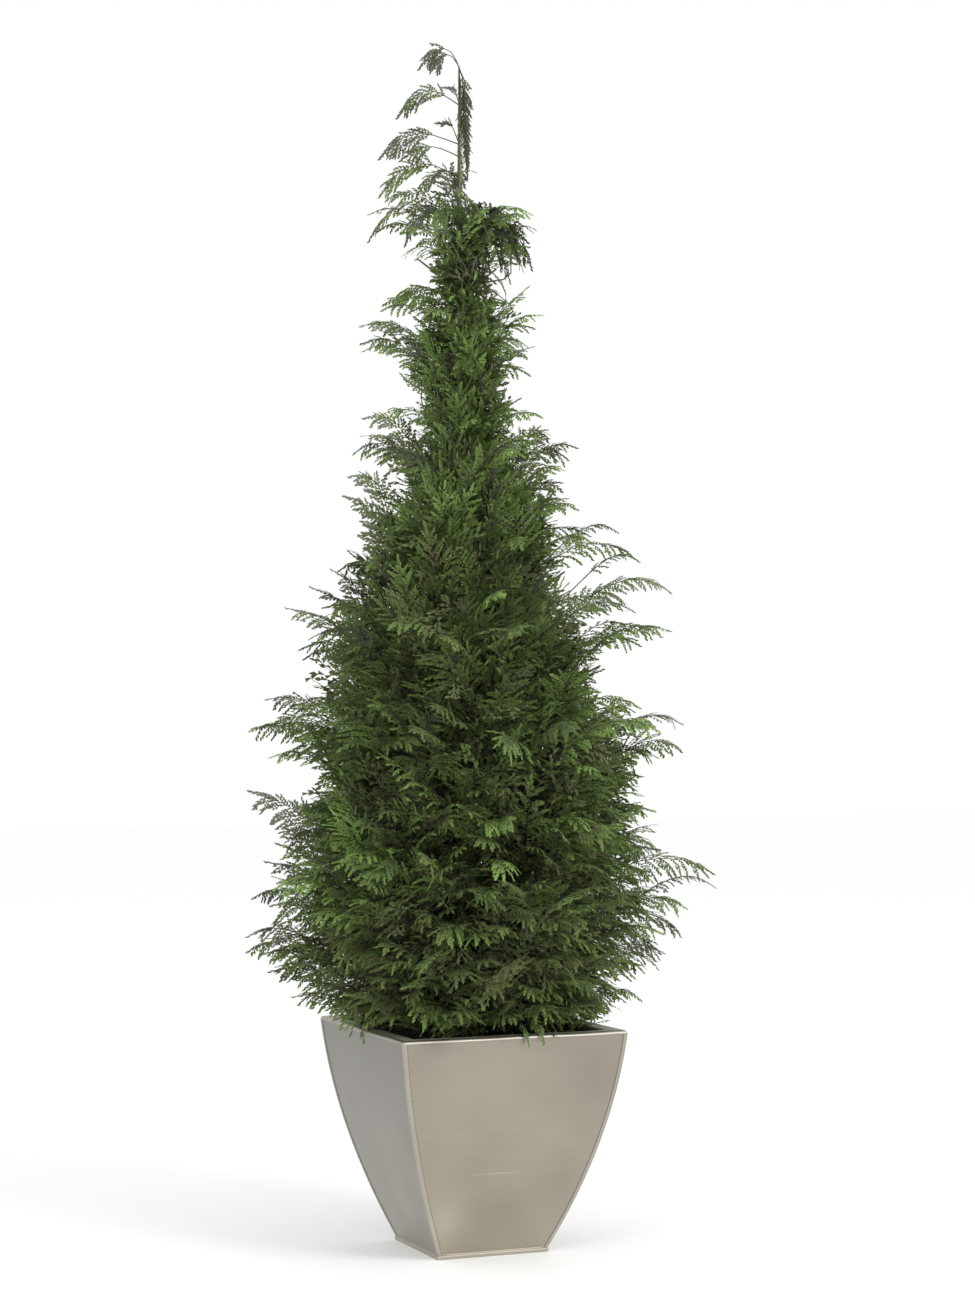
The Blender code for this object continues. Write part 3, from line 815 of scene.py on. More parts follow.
    def _plate(self) -> bpy.types.Object:
        """Returns the foot plate, its edges rounded."""
        clear_selection()
        bpy.ops.mesh.primitive_cube_add(size=1.0, location=(0, 0, self.plate_height / 2))
        plate = bpy.context.object
        plate.scale = (self.plate_width, self.plate_width, self.plate_height)
        bpy.ops.object.transform_apply(location=True, scale=True)
        bpy.ops.object.mode_set(mode="EDIT")
        select_in_edit(lambda face: face.normal.z > 0.9, Part.FACE)
        bpy.ops.mesh.inset(thickness=self.plate_inset, depth=0.0)
        bpy.ops.object.mode_set(mode="OBJECT")
        soft = plate.modifiers.new("edges", "BEVEL")
        soft.width = self.plate_radius
        soft.segments = 3
        soft.limit_method = "ANGLE"
        apply_modifiers(plate)
        return plate


@dataclass
class Soil:
    """Potting soil that fills the pot, with a rough top mounded to the trunk."""

    pot: Pot
    below_rim: float = 0.014
    mound: float = 0.005
    mound_radius: float = 0.11
    cuts: int = 70
    roughness: float = 0.004
    coarse: float = 30.0  # waves to the metre
    fine: float = 95.0
    side_steps: int = 8

    @property
    def top(self) -> float:
        """The height of the soil against the trunk."""
        return self.pot.height - self.below_rim + self.mound

    def build(self) -> None:
        """Builds the soil's rough top and its sides, and takes the place of its solid."""
        level = self.pot.height - self.below_rim
        half = self.pot.half_width(level) - self.pot.sheet - self.pot.gap
        clear_selection()
        bpy.ops.mesh.primitive_grid_add(x_subdivisions=self.cuts, y_subdivisions=self.cuts, size=2 * half)
        soil = bpy.context.object
        soil.location = (0, 0, level)
        bpy.ops.object.transform_apply(location=True)

        def bumpy(point: Vector) -> Vector:
            """Raises the middle and roughens it, but not at the pot's sides."""
            out = max(abs(point.x), abs(point.y)) / half
            hold = min(1.0, (1 - out) * 12)
            coarse = noise.noise(Vector((point.x * self.coarse, point.y * self.coarse, 0.3)))
            fine = noise.noise(Vector((point.x * self.fine, point.y * self.fine, 5.1)))
            near = max(0.0, 1 - math.hypot(point.x, point.y) / self.mound_radius)
            point.z += hold * (self.mound * near + self.roughness * (0.6 * coarse + 0.5 * fine - 0.25))
            return point

        move_vertices(soil, bumpy)
        bpy.ops.object.mode_set(mode="EDIT")
        select_in_edit(lambda edge: edge.is_boundary, Part.EDGE)
        low = self.pot.plate_height + 2 * self.pot.gap + self.pot.sheet
        now = half
        for i in range(1, self.side_steps + 1):
            height = level + (low - level) * i / self.side_steps
            width = self.pot.half_width(height) - self.pot.sheet - self.pot.gap
            bpy.ops.mesh.extrude_edges_move()
            bpy.ops.transform.resize(value=(width / now, width / now, 1.0), center_override=(0, 0, 0))
            bpy.ops.transform.translate(value=(0, 0, (low - level) / self.side_steps))
            now = width
        bpy.ops.mesh.edge_face_add()
        bpy.ops.object.mode_set(mode="OBJECT")
        finish_piece(soil, "potting_soil_top", [EARTH], 60)
        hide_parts("soil")


# ---------------------------------------------------------------- the trunk and its limbs


@dataclass
class Trunk:
    """The trunk, from its flared foot to its nodding tip, and the lie of the limbs on it."""

    foot: float
    tip: float = 2.100
    radius: float = 0.0195
    tip_radius: float = 0.0016
    taper_power: float = 1.15
    flare: float = 0.013
    flare_height: float = 0.022
    lean: float = 0.021
    lean_from: float = 1.30
    lean_to: float = 1.90
    crook: float = 0.003
    crook_length: float = 0.55
    sides: int = 28
    rings: int = 56
    fine: int = 5  # how many times finer the rings are cut again
    relief: float = 0.0011
    limb_sides: int = 9
    limb_rings: int = 26
    limb_relief: float = 0.0005
    full_relief_from: float = 0.008  # the radius from which the bark has its whole relief

    def middle(self, height: float) -> np.ndarray:
        """How far the trunk's middle stands off the pot's.

        Args:
            height: above the ground.

        Returns:
            A level vector.
        """
        t = min(max((height - self.lean_from) / (self.lean_to - self.lean_from), 0.0), 1.0)
        off = self.lean * t * t * (3 - 2 * t)
        phase = (height - self.foot) / self.crook_length * math.tau
        waver = self.crook * math.sin(phase) * min(1.0, height - 0.4)
        along = np.array((math.cos(NARROW), math.sin(NARROW), 0.0))
        return along * off + np.array((-along[1], along[0], 0.0)) * waver

    def radius_at(self, height: float) -> float:
        """The trunk's radius.

        Args:
            height: above the ground.

        Returns:
            The radius there.
        """
        rise = (height - self.foot) / (self.tip - self.foot)
        taper = (self.radius - self.tip_radius) * max(1 - rise, 0.0) ** self.taper_power
        return self.tip_radius + taper + self.flare * math.exp(-(height - self.foot) / self.flare_height)

    def build(self, limbs: Sequence[tuple[str, np.ndarray, np.ndarray]]) -> None:
        """Builds the trunk and the limbs with their bark's relief, and takes the place of their solids.

        Args:
            limbs: for each limb its node's name or "", its points (n, 3) and its radii (n,).
        """
        heights = np.linspace(self.foot + 0.0003, self.tip, 80)
        line = np.array([self.middle(z) + UP * z for z in heights])
        radii = np.array([self.radius_at(z) for z in heights])
        trunk = self._limb(line, radii, self.sides, self.rings, self.fine, self.relief)
        finish_piece(trunk, "trunk_bark", [BARK], 70)
        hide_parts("trunk")
        made = [
            self._limb(points, widths, self.limb_sides, self.limb_rings, 1, self.limb_relief)
            for _, points, widths in limbs
        ]
        clear_selection()
        for limb in made:
            limb.select_set(True)
        bpy.context.view_layer.objects.active = made[0]
        bpy.ops.object.join()
        finish_piece(made[0], "limb_bark", [BARK], 70)
        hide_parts(*[name for name, _, _ in limbs if name])

    def _limb(
        self, line: np.ndarray, radii: np.ndarray, sides: int, rings: int, fine: int, relief: float
    ) -> bpy.types.Object:
        """Returns a round limb along a line, with shredding bark.

        Args:
            line: the points along its middle, (n, 3).
            radii: its radius at each.
            sides: the number of its sides.
            rings: the number of its rings.
            fine: how many times finer the rings are cut again.
            relief: the depth of the bark's relief.

        Returns:
            The limb.
        """
        clear_selection()
        bpy.ops.mesh.primitive_cylinder_add(vertices=sides, radius=1.0, depth=1.0, location=(0, 0, 0.5))
        limb = bpy.context.object
        bpy.ops.object.transform_apply(location=True)
        bpy.ops.object.mode_set(mode="EDIT")
        select_in_edit(lambda edge: climb_of(edge) > 0.5, Part.EDGE)
        bpy.ops.mesh.subdivide(number_cuts=rings - 1)
        if fine > 1:
            select_in_edit(lambda edge: climb_of(edge) > 0.0001, Part.EDGE)
            bpy.ops.mesh.subdivide(number_cuts=fine - 1)
        bpy.ops.object.mode_set(mode="OBJECT")
        steps = np.linspace(0, 1, len(line))
        ahead = unit(np.gradient(line, axis=0))
        level = unit(np.cross(ahead, (0.6, 0.8, 0.0)))
        other = np.cross(ahead, level)
        length = float(np.linalg.norm(line[-1] - line[0]))

        def place(point: Vector) -> Vector:
            """Puts a point of the plain cylinder on the limb."""
            share = point.z
            radius = float(np.interp(share, steps, radii))
            turn = math.atan2(point.y, point.x)
            grain = Vector((math.cos(turn) * 3.2, math.sin(turn) * 3.2, share * length * 14))
            shreds = noise.noise(grain) + 0.5 * noise.noise(grain * 2.3 + Vector((4, 1, 2)))
            depth = relief * min(1.0, radius / self.full_relief_from) * (shreds - 0.35)
            out = (radius + depth) * math.hypot(point.x, point.y)
            first, second = Vector(read_line(level, share)), Vector(read_line(other, share))
            spread = first * math.cos(turn) + second * math.sin(turn)
            return Vector(read_line(line, share)) + spread * out

        move_vertices(limb, place)
        return limb


# ---------------------------------------------------------------- the crown


@dataclass(frozen=True)
class Surface:
    """A bowl round the trunk: its height at the trunk, at the tips, and the tips' distance."""

    at_trunk: float
    at_tips: float
    reach: float
    bow: float = 0.12

    def height(self, radius: float) -> float:
        """The bowl's height.

        Args:
            radius: the distance from the trunk.

        Returns:
            The height there.
        """
        t = min(radius / self.reach, 1.0)
        climb = self.at_tips - self.at_trunk
        return self.at_trunk + climb * t + 4 * self.bow * abs(climb) * t * (1 - t)


@dataclass(frozen=True)
class Tier:
    """The masses between two surfaces, and how the shoots in them grow."""

    masses: int
    first_azimuth: float
    broad_reach: float
    narrow_reach: float
    shoots: int  # of the leading ones
    leading_tip: float  # how high in the tier the first one ends, as a share
    limb_share: float  # of the reach, how far its limb runs
    bough: bool
    sprays: int  # of the many outer ones
    inner: int  # of the coarse shaded ones
    length: float
    spread: float  # the length of a shoot's longest frond
    climb: float  # degrees above level, at a shoot's root
    nod: float  # the same at its tip
    bare: float  # the share of a shoot without fronds
    tints: TintTable
    settling: float = 1.0  # above 1, more of the tips lie low in the tier

    def reach_at(self, azimuth: float) -> float:
        """The reach of the tips, which swings between the broad and the narrow side."""
        middle = (self.broad_reach + self.narrow_reach) / 2
        return middle + (self.broad_reach - self.narrow_reach) / 2 * math.cos(azimuth - BROAD)


SURFACES = (
    Surface(0.398, 0.445, 0.38, -0.25),
    Surface(0.490, 0.615, 0.40),
    Surface(0.620, 0.805, 0.40),
    Surface(0.780, 0.990, 0.38),
    Surface(0.950, 1.180, 0.35),
    Surface(1.140, 1.360, 0.27),
    Surface(1.330, 1.540, 0.20),
    Surface(1.565, 1.725, 0.17),
    Surface(1.800, 1.870, 0.16),
)
TIERS = (
    Tier(5, NARROW, 0.375, 0.395, 4, 0.50, 0.71, True, 32, 66, 0.160, 0.072, 36, -30, 0.2, LOW_TINTS, 1.5),
    Tier(5, BROAD, 0.430, 0.392, 4, 0.22, 0.70, True, 29, 72, 0.185, 0.072, 46, -18, 0.2, OUTER_TINTS),
    Tier(5, NARROW, 0.378, 0.390, 4, 0.60, 0.70, True, 30, 68, 0.180, 0.068, 56, -6, 0.2, OUTER_TINTS),
    Tier(5, BROAD, 0.353, 0.330, 4, 0.55, 0.70, False, 34, 60, 0.155, 0.057, 58, 0, 0.2, MIDDLE_TINTS),
    Tier(4, BROAD, 0.290, 0.235, 4, 0.32, 0.62, False, 38, 46, 0.142, 0.053, 64, 20, 0.2, MIDDLE_TINTS),
    Tier(3, NARROW, 0.180, 0.210, 5, 0.40, 0.50, False, 44, 26, 0.135, 0.048, 68, 30, 0.06, HIGH_TINTS),
    Tier(3, NARROW, 0.118, 0.192, 5, 0.55, 0.42, False, 44, 16, 0.120, 0.045, 66, 14, 0.06, HIGH_TINTS),
    Tier(4, BROAD, 0.138, 0.165, 4, 0.70, 0.52, False, 18, 4, 0.105, 0.046, 60, -30, 0.06, HIGH_TINTS),
)
CROWN_TAPER = 0.35  # how much of the reach is lost at the top of a cell
SHOOT_PLACES = ((-0.70, 0.45), (0.70, 0.70), (-0.30, 0.88), (0.35, 0.35))  # tips, shares (across, up)
SHOOT_SCATTER = (0.08, 0.05)  # of those shares, more or less
SHOOT_REACHES = (0.90, 1.0)  # the least and the most, of the cell's reach
# The closed body of the crown: heights, and how far it reaches there on the narrow and the broad side
BODY_HEIGHTS = (
    0.39, 0.43, 0.50, 0.60, 0.70, 0.80, 0.90, 0.97, 1.04, 1.10, 1.18, 1.25, 1.33, 1.40,
    1.45, 1.50, 1.60, 1.66, 1.72, 1.80, 1.88,
)
BODY_NARROW = (
    0.25, 0.26, 0.33, 0.35, 0.34, 0.30, 0.30, 0.31, 0.28, 0.245, 0.225, 0.20, 0.165, 0.14,
    0.09, 0.10, 0.105, 0.085, 0.062, 0.05, 0.045,
)
BODY_BROAD = (
    0.24, 0.26, 0.29, 0.34, 0.32, 0.31, 0.29, 0.24, 0.23, 0.205, 0.165, 0.16, 0.15, 0.12,
    0.075, 0.07, 0.08, 0.085, 0.062, 0.10, 0.06,
)


def body_radius(point: np.ndarray) -> float:
    """How far the closed body of the crown reaches.

    Args:
        point: tells the height and the side.

    Returns:
        Its distance from the trunk's middle.
    """
    share = 0.5 + 0.5 * math.cos(math.atan2(point[1], point[0]) - BROAD)
    narrow = np.interp(float(point[2]), BODY_HEIGHTS, BODY_NARROW)
    broad = np.interp(float(point[2]), BODY_HEIGHTS, BODY_BROAD)
    return float(narrow * (1 - share) + broad * share)


@dataclass(frozen=True)
class Cell:
    """The space of one mass: a sector of a tier, measured from the trunk."""

    name: str
    azimuth: float
    half_angle: float
    low: Surface
    high: Surface
    reach: float
    swirl: float
    tier: Tier
    trunk: Trunk

    def place(self, radius: float, across: float, up: float) -> np.ndarray:
        """Finds a point of the cell.

        Args:
            radius: its distance from the trunk.
            across: its share of the half sector, from -1 to 1.
            up: its share of the tier's height.

        Returns:
            The point.
        """
        angle = self.azimuth + self.swirl * (radius - SWIRL_CENTRE) + across * self.half_angle
        height = self.low.height(radius) * (1 - up) + self.high.height(radius) * up
        flat = np.array((math.cos(angle) * radius, math.sin(angle) * radius, height))
        return flat + self.trunk.middle(height)

    def limb_line(self, start: float, end: float, count: int) -> np.ndarray:
        """Points along the middle of the cell between two distances from the trunk, (count, 3)."""
        return np.array([self.place(radius, 0, 0.5) for radius in np.linspace(start, end, count)])

    def shoot_ends(self) -> Iterator[tuple[np.ndarray, float]]:
        """Yields where each leading shoot ends, and its turn, by the rule that shapes the solid."""
        draw = random.Random(self.name)
        tier = self.tier
        hand = draw.choice((-1, 1))
        for i, (across, up) in enumerate([(0, tier.leading_tip), *SHOOT_PLACES][: tier.shoots]):
            across = across * hand + draw.uniform(-SHOOT_SCATTER[0], SHOOT_SCATTER[0])
            up += draw.uniform(-SHOOT_SCATTER[1], SHOOT_SCATTER[1])
            share = 1.0
            if i:
                share = draw.uniform(*SHOOT_REACHES) - CROWN_TAPER * max(up - tier.leading_tip, 0)
            yield self.place(self.reach * share, across, up), draw.uniform(-1, 1)


LONG_FROM, FINGER_FROM = 0.056, 0.033  # the lengths from which a frond is of those kinds


class Kind(Enum):
    """The kinds of frond, each with the first nine sizes of its patterns."""

    LONG = (0.070, 0.0080, 0.05, 0.0034, 0.0058, 0.0084, 0.0043, 0.30, 0.60)
    FINGER = (0.045, 0.0062, 0.06, 0.0030, 0.0060, 0.0080, 0.0041, 0.35, 0.60)
    TIP = (0.024, 0.0048, 0.06, 0.0027, 0.0055, 0.0070, 0.0039, 0.40, 0.60)
    INNER = (0.130, 0.045, 0.05, 0.0130, 0.0125, 0.0190, 0.0070, 0.45, 0.70)

    @classmethod
    def of_length(cls, length: float) -> "Kind":
        """The kind of an outer frond of a length."""
        if length > LONG_FROM:
            return cls.LONG
        return cls.FINGER if length > FINGER_FROM else cls.TIP


@dataclass(frozen=True)
class FrondPattern:
    """A flat frond in its plane: strands by turns on either side of a rib, edged with small leaves."""

    length: float
    half_width: float
    bare: float  # share of the rib with nothing on it
    step: float  # between strands
    leaf_step: float
    leaf_length: float
    leaf_width: float
    widest: float  # where it is widest, as a share of its length
    fork: float  # where a pair of leaves parts, as a share of their length
    seed: int
    opening: float = 46.0  # degrees between the rib and a strand at the root
    closing: float = 25.0  # the same at the tip
    scatter: float = 9.0  # of that, in degrees more or less
    root_width: float = 0.62  # of the greatest width, where the strands start
    narrowing: float = 0.80  # of the greatest width, lost at the tip
    reaches: tuple[float, float] = (0.62, 1.15)  # the least and the most, of a strand's usual length
    curl: float = 0.45  # radians a strand bends towards the tip
    split_from: float = 0.016  # the length from which a strand may split
    splits: float = 0.5  # the share of those that do
    partings: tuple[float, float] = (0.45, 0.70)  # radians between the two
    leaf_turns: tuple[float, float] = (5.0, 15.0)  # degrees off the strand, by turns to either side
    leaf_sizes: tuple[float, float] = (0.85, 1.15)  # the least and the most, of the usual length
    dwindling: float = 0.30  # of a leaf's length, lost along a strand
    leaf_lift: float = 0.2  # of a leaf's length, off the plane at most

    def lay_out(self) -> "Layout":
        """Returns the frond's faces in its plane."""
        draw = random.Random(self.seed)
        layout = Layout(self.length)
        count = int(self.length * (1 - self.bare) / self.step)
        for i in range(count + 1):
            share = self.bare + (1 - self.bare) * i / count
            if share < self.widest:
                risen = (share - self.bare) / (self.widest - self.bare)
                envelope = self.root_width + (1 - self.root_width) * risen
            else:
                envelope = 1 - self.narrowing * ((share - self.widest) / (1 - self.widest)) ** 1.2
            hand = 0 if i == count else (1 if i % 2 else -1)
            angle = self.opening + (self.closing - self.opening) * share
            angle = math.radians(angle + draw.uniform(-self.scatter, self.scatter))
            reach = self.half_width * envelope * draw.uniform(*self.reaches)
            self._strand(layout, draw, share, hand, angle, reach / math.sin(angle))
        return layout

    def _strand(
        self, layout: "Layout", draw: random.Random, share: float, hand: int, angle: float, length: float
    ) -> None:
        """Lays out one strand.

        Args:
            layout: gets its faces.
            draw: the source of its irregularities.
            share: how far along the rib it starts.
            hand: 1 or -1 for its side, 0 for the rib's own end.
            angle: between it and the rib.
            length: its length.
        """
        heading = hand * angle
        spot = np.array((share * self.length, 0.0))
        count = max(1, round(length / self.leaf_step))
        split = count
        if hand and length > self.split_from and draw.random() < self.splits:
            split = draw.randrange(1, count)
        for k in range(count):
            part = (k + 0.5) / count
            way = heading - hand * self.curl * part
            turn = math.radians(draw.uniform(*self.leaf_turns)) * (1 if k % 2 else -1)
            size = self.leaf_length * (1.15 - self.dwindling * part) * draw.uniform(*self.leaf_sizes)
            lift = draw.uniform(-self.leaf_lift, self.leaf_lift) * size
            age = share + 0.3 * part
            fork = 1.0 if k == count - 1 else self.fork
            layout.leaf(spot, way + turn, size, self.leaf_width, lift, age, fork)
            if k == split:
                aside = way + hand * draw.uniform(*self.partings)
                ahead = np.array((math.cos(aside), math.sin(aside))) * self.leaf_step * 0.9
                for step in range(2):
                    layout.leaf(spot + ahead * step, aside, size, self.leaf_width, lift, age + 0.1, self.fork)
            spot = spot + np.array((math.cos(way), math.sin(way))) * length / count


class Layout:
    """The faces of a frond in its plane. Each point is (way along the rib, way aside, lift off the plane)."""

    pointed = (0.45, 0.4)  # where along it a leaf is widest, and how much of its lift it has there
    forked = (0.80, 0.9)

    def __init__(self, length: float) -> None:
        """Starts empty, for a frond of a length."""
        self.length = length
        self.points: list[tuple[float, float, float]] = []
        self.ages: list[float] = []

    def leaf(
        self,
        foot: np.ndarray,
        heading: float,
        length: float,
        width: float,
        lift: float,
        age: float,
        fork: float,
    ) -> None:
        """Adds a pair of small leaves that part like a swallow's tail, or one that ends in a point.

        Args:
            foot: where it starts, in the plane.
            heading: its direction in the plane, from the rib's.
            length: its length.
            width: its greatest width.
            lift: how far its end stands off the plane.
            age: its place from the oldest at 0 to the youngest over 1.
            fork: where the pair parts, as a share of the length, or 1 for a point.
        """
        ahead = np.array((math.cos(heading), math.sin(heading)))
        aside = np.array((-ahead[1], ahead[0])) * width / 2
        wide_at, risen = self.pointed if fork == 1 else self.forked
        widest = foot + ahead * length * wide_at
        tip = foot + ahead * length * fork
        high = lift * risen
        for spot, rise in ((foot, 0.0), (widest - aside, high), (tip, lift * fork), (widest + aside, high)):
            self.points.append((float(spot[0]), float(spot[1]), rise))
        self.ages.append(age)


@dataclass(frozen=True)
class Manner:
    """How the fronds sit on a shoot, and their colours."""

    roll: float  # radians the spray is turned about its line
    spread: float  # the length of its longest frond
    tints: tuple[Tint, Tint]
    droop: float  # degrees each frond's tip bends down
    bare: float  # the share of the shoot without fronds
    spacing: float  # between the fronds


@dataclass(frozen=True)
class Habit:
    """How the shoots of a mass lie, and how far each strays from that."""

    heading_scatter: float  # radians
    nod_scatter: float  # degrees
    nod: float | None = None  # degrees above level at the tip, or as the tier has it
    steepest: float = 90.0  # degrees above level at the root, at most


OUTER_HABIT = Habit(0.38, 20.0)
NODDING_HABIT = Habit(0.12, 8.0, -32.0, 46.0)
CLIMB_SCATTER = 10.0  # degrees
TURN_SCATTER = 0.3  # radians a shoot bends sideways
# Each place takes one step of each more than the last, less what is whole, and so they fill a square evenly
EVEN_ACROSS, EVEN_UP = 0.7548776662, 0.5698402910


@dataclass
class Frond:
    """One frond on its line."""

    path: np.ndarray  # (FROND_POINTS, 3)
    normal: np.ndarray  # across its plane
    width: float  # of the pattern's own width
    kind: Kind
    tints: tuple[Tint, Tint]
    choice: int  # which of its kind's patterns


@dataclass
class Shoot:
    """One woody shoot with its fronds."""

    path: np.ndarray  # (PATH_POINTS, 3)
    radius: float
    fronds: list[Frond]
    root: np.ndarray | None = None  # where its twig leaves the limb


def directions(rise: np.ndarray, side: np.ndarray) -> np.ndarray:
    """Unit vectors from angles above level and azimuths."""
    return np.stack((np.cos(rise) * np.cos(side), np.cos(rise) * np.sin(side), np.sin(rise)), axis=-1)


def traced(steps: np.ndarray, length: float) -> np.ndarray:
    """The line from the origin along some unit steps, of a whole length."""
    return np.vstack((np.zeros(3), np.cumsum(steps * length / len(steps), axis=0)))


def nodding_path(
    tip: np.ndarray, heading: float, turn: float, climb: float, nod: float, length: float, power: float = 1.8
) -> np.ndarray:
    """The line of a shoot that climbs, bends over and ends at a tip.

    Args:
        tip: where it ends.
        heading: its azimuth at the tip.
        turn: how much that changes along it.
        climb: its angle above level at the root.
        nod: the same at its tip.
        length: its length.
        power: above 1, it bends most near its tip.

    Returns:
        Its points, (PATH_POINTS, 3), from the root.
    """
    share = (np.arange(PATH_POINTS - 1) + 0.5) / (PATH_POINTS - 1)
    rise = climb + (nod - climb) * share**power
    line = traced(directions(rise, heading - turn * (1 - share)), length)
    return line + (tip - line[-1])


END_HOLD = 0.42  # of the way between a bent path's ends, how far each end's slope holds


def bent_path(root: np.ndarray, tip: np.ndarray, climb: float, nod: float) -> np.ndarray:
    """The line of a shoot between two points that sets out at one slope and arrives at another.

    Args:
        root: where it starts.
        tip: where it ends.
        climb: its angle above level at the root.
        nod: the same at its tip.

    Returns:
        Its points, (PATH_POINTS, 3).
    """
    way = tip - root
    flat = way * (1, 1, 0)
    flat /= max(float(np.linalg.norm(flat)), 1e-6)
    reach = float(np.linalg.norm(way)) * END_HOLD
    first = root + reach * (flat * math.cos(climb) + UP * math.sin(climb))
    last = tip - reach * (flat * math.cos(nod) + UP * math.sin(nod))
    t = np.linspace(0, 1, PATH_POINTS)[:, None]
    return root * (1 - t) ** 3 + 3 * first * t * (1 - t) ** 2 + 3 * last * t * t * (1 - t) + tip * t**3


@dataclass(frozen=True)
class LeadingShoot:
    """A long shoot that stands out of the crown's outline: where it starts, ends and how it bends."""

    side: float  # its azimuth
    root_distance: float  # from the trunk
    root_height: float
    tip_distance: float
    tip_height: float
    nod: float  # degrees above level at its tip
    half_width: float
    bare: float = 0.12  # the share without fronds
    roll: float | None = None  # as dealt, if none is given
    tints: tuple[Tint, Tint] | None = None  # the same


LEADING_SHOOTS_ROWS = (
    (math.radians(198), 0.230, 0.690, 0.328, 0.835, 45, 0.042, 0.0, 0.1, BRIGHT_TIPS),
    (math.radians(204), 0.230, 0.660, 0.335, 0.785, 50, 0.042, 0.0, -0.2, BRIGHT_TIPS),
    (math.radians(-86), 0.130, 0.418, 0.219, 0.381, -75, 0.008, 0.5),
    (math.radians(-73), 0.145, 0.422, 0.227, 0.391, -70, 0.010, 0.4),
    (math.radians(-79), 0.140, 0.424, 0.224, 0.384, -75, 0.010, 0.4),
    (math.radians(-112), 0.130, 0.425, 0.212, 0.418, -55, 0.022),
    (math.radians(-100), 0.130, 0.430, 0.198, 0.418, -50, 0.022),
    (math.radians(-125), 0.140, 0.430, 0.232, 0.420, -50, 0.024),
    (math.radians(-58), 0.140, 0.430, 0.215, 0.412, -50, 0.022),
    (math.radians(172), 0.140, 0.432, 0.192, 0.424, -40, 0.018),
    (math.radians(158), 0.160, 0.436, 0.236, 0.418, -50, 0.026),
    (math.radians(-168), 0.150, 0.432, 0.212, 0.420, -50, 0.020),
    (math.radians(88), 0.140, 0.430, 0.236, 0.392, -60, 0.024),
    (math.radians(20), 0.140, 0.430, 0.240, 0.395, -60, 0.024),
    (BROAD, 0.150, 1.235, 0.260, 1.270, -40, 0.014),
    (BROAD, 0.200, 1.185, 0.298, 1.218, -40, 0.014),
    (BROAD, 0.190, 1.140, 0.355, 1.163, -40, 0.026),
    (BROAD, 0.150, 1.100, 0.289, 1.128, -35, 0.024, 0.1, None, FRESH_TIPS),
    (BROAD, 0.150, 1.010, 0.338, 1.083, -38, 0.032, 0.1, None, FRESH_TIPS),
    (BROAD, 0.200, 0.900, 0.289, 0.950, -40, 0.026, 0.1, None, FRESH_TIPS),
    (BROAD, 0.215, 0.868, 0.374, 0.928, -35, 0.030),
    (BROAD, 0.210, 0.850, 0.331, 0.868, -35, 0.036, 0.1, None, FRESH_TIPS),
    (BROAD, 0.220, 0.750, 0.325, 0.772, -20, 0.030),
    (BROAD, 0.240, 0.690, 0.334, 0.703, -10, 0.022),
    (BROAD - 0.14, 0.290, 0.615, 0.432, 0.640, -40, 0.016),
    (BROAD, 0.270, 0.600, 0.382, 0.600, -35, 0.034),
    (BROAD, 0.260, 0.588, 0.373, 0.549, -55, 0.034),
    (BROAD, 0.240, 0.550, 0.335, 0.520, -50, 0.030),
    (BROAD, 0.210, 0.490, 0.304, 0.498, -20, 0.028),
    (BROAD, 0.190, 0.428, 0.3015, 0.436, -45, 0.022),
    (BROAD, 0.040, 1.620, 0.102, 1.706, 40, 0.020),
    (BROAD, 0.040, 1.600, 0.125, 1.657, -5, 0.020),
    (BROAD, 0.030, 1.560, 0.109, 1.599, 15, 0.028),
    (BROAD, 0.030, 1.430, 0.086, 1.506, 30, 0.024),
    (BROAD, 0.070, 1.370, 0.136, 1.438, -50, 0.030),
    (BROAD, 0.095, 1.380, 0.187, 1.420, -25, 0.020),
    (BROAD, 0.090, 1.350, 0.164, 1.380, -30, 0.026),
    (BROAD, 0.085, 1.325, 0.159, 1.357, -10, 0.030),
    (BROAD, 0.095, 1.300, 0.170, 1.328, 0, 0.030, 0.1, None, FRESH_TIPS),
    (NARROW, 0.200, 1.055, 0.326, 1.132, 10, 0.030),
    (NARROW, 0.190, 1.090, 0.284, 1.170, 20, 0.026),
    (NARROW, 0.190, 1.140, 0.246, 1.200, 30, 0.020),
    (NARROW, 0.160, 1.160, 0.216, 1.233, 40, 0.022),
    (NARROW, 0.240, 0.920, 0.362, 0.970, -15, 0.034),
    (NARROW, 0.250, 0.860, 0.387, 0.919, -20, 0.022),
    (NARROW, 0.250, 0.850, 0.356, 0.867, -25, 0.026, 0.1, None, FRESH_TIPS),
    (NARROW, 0.250, 0.690, 0.394, 0.806, 15, 0.040, 0.05, 1.2, (PALE, PALE)),
    (NARROW, 0.270, 0.640, 0.364, 0.680, 10, 0.024),
    (NARROW, 0.280, 0.605, 0.387, 0.617, -35, 0.026),
    (NARROW, 0.280, 0.540, 0.394, 0.550, -30, 0.026),
    (NARROW, 0.265, 0.500, 0.372, 0.516, -20, 0.030),
    (NARROW, 0.250, 0.470, 0.356, 0.486, -15, 0.030),
    (NARROW, 0.220, 0.430, 0.314, 0.442, -10, 0.030),
    (NARROW, 0.040, 1.690, 0.136, 1.679, -50, 0.030),
    (NARROW, 0.050, 1.550, 0.193, 1.636, -25, 0.030, 0.1),
    (NARROW, 0.050, 1.510, 0.193, 1.606, -25, 0.032, 0.1),
    (NARROW, 0.080, 1.350, 0.189, 1.472, -20, 0.030, 0.1, 1.2, PALE_TIPS),
    (NARROW, 0.080, 1.320, 0.193, 1.440, -15, 0.026, 0.2),
    (NARROW, 0.080, 1.340, 0.112, 1.456, 60, 0.022, 0.3),
    (NARROW, 0.140, 1.240, 0.214, 1.367, -20, 0.030, 0.0, 1.2, PALE_TIPS),
    (NARROW, 0.150, 1.200, 0.224, 1.333, 15, 0.028, 0.05, -1.2, PALE_TIPS),
)
LEADING_SHOOTS = tuple(LeadingShoot(*row) for row in LEADING_SHOOTS_ROWS)


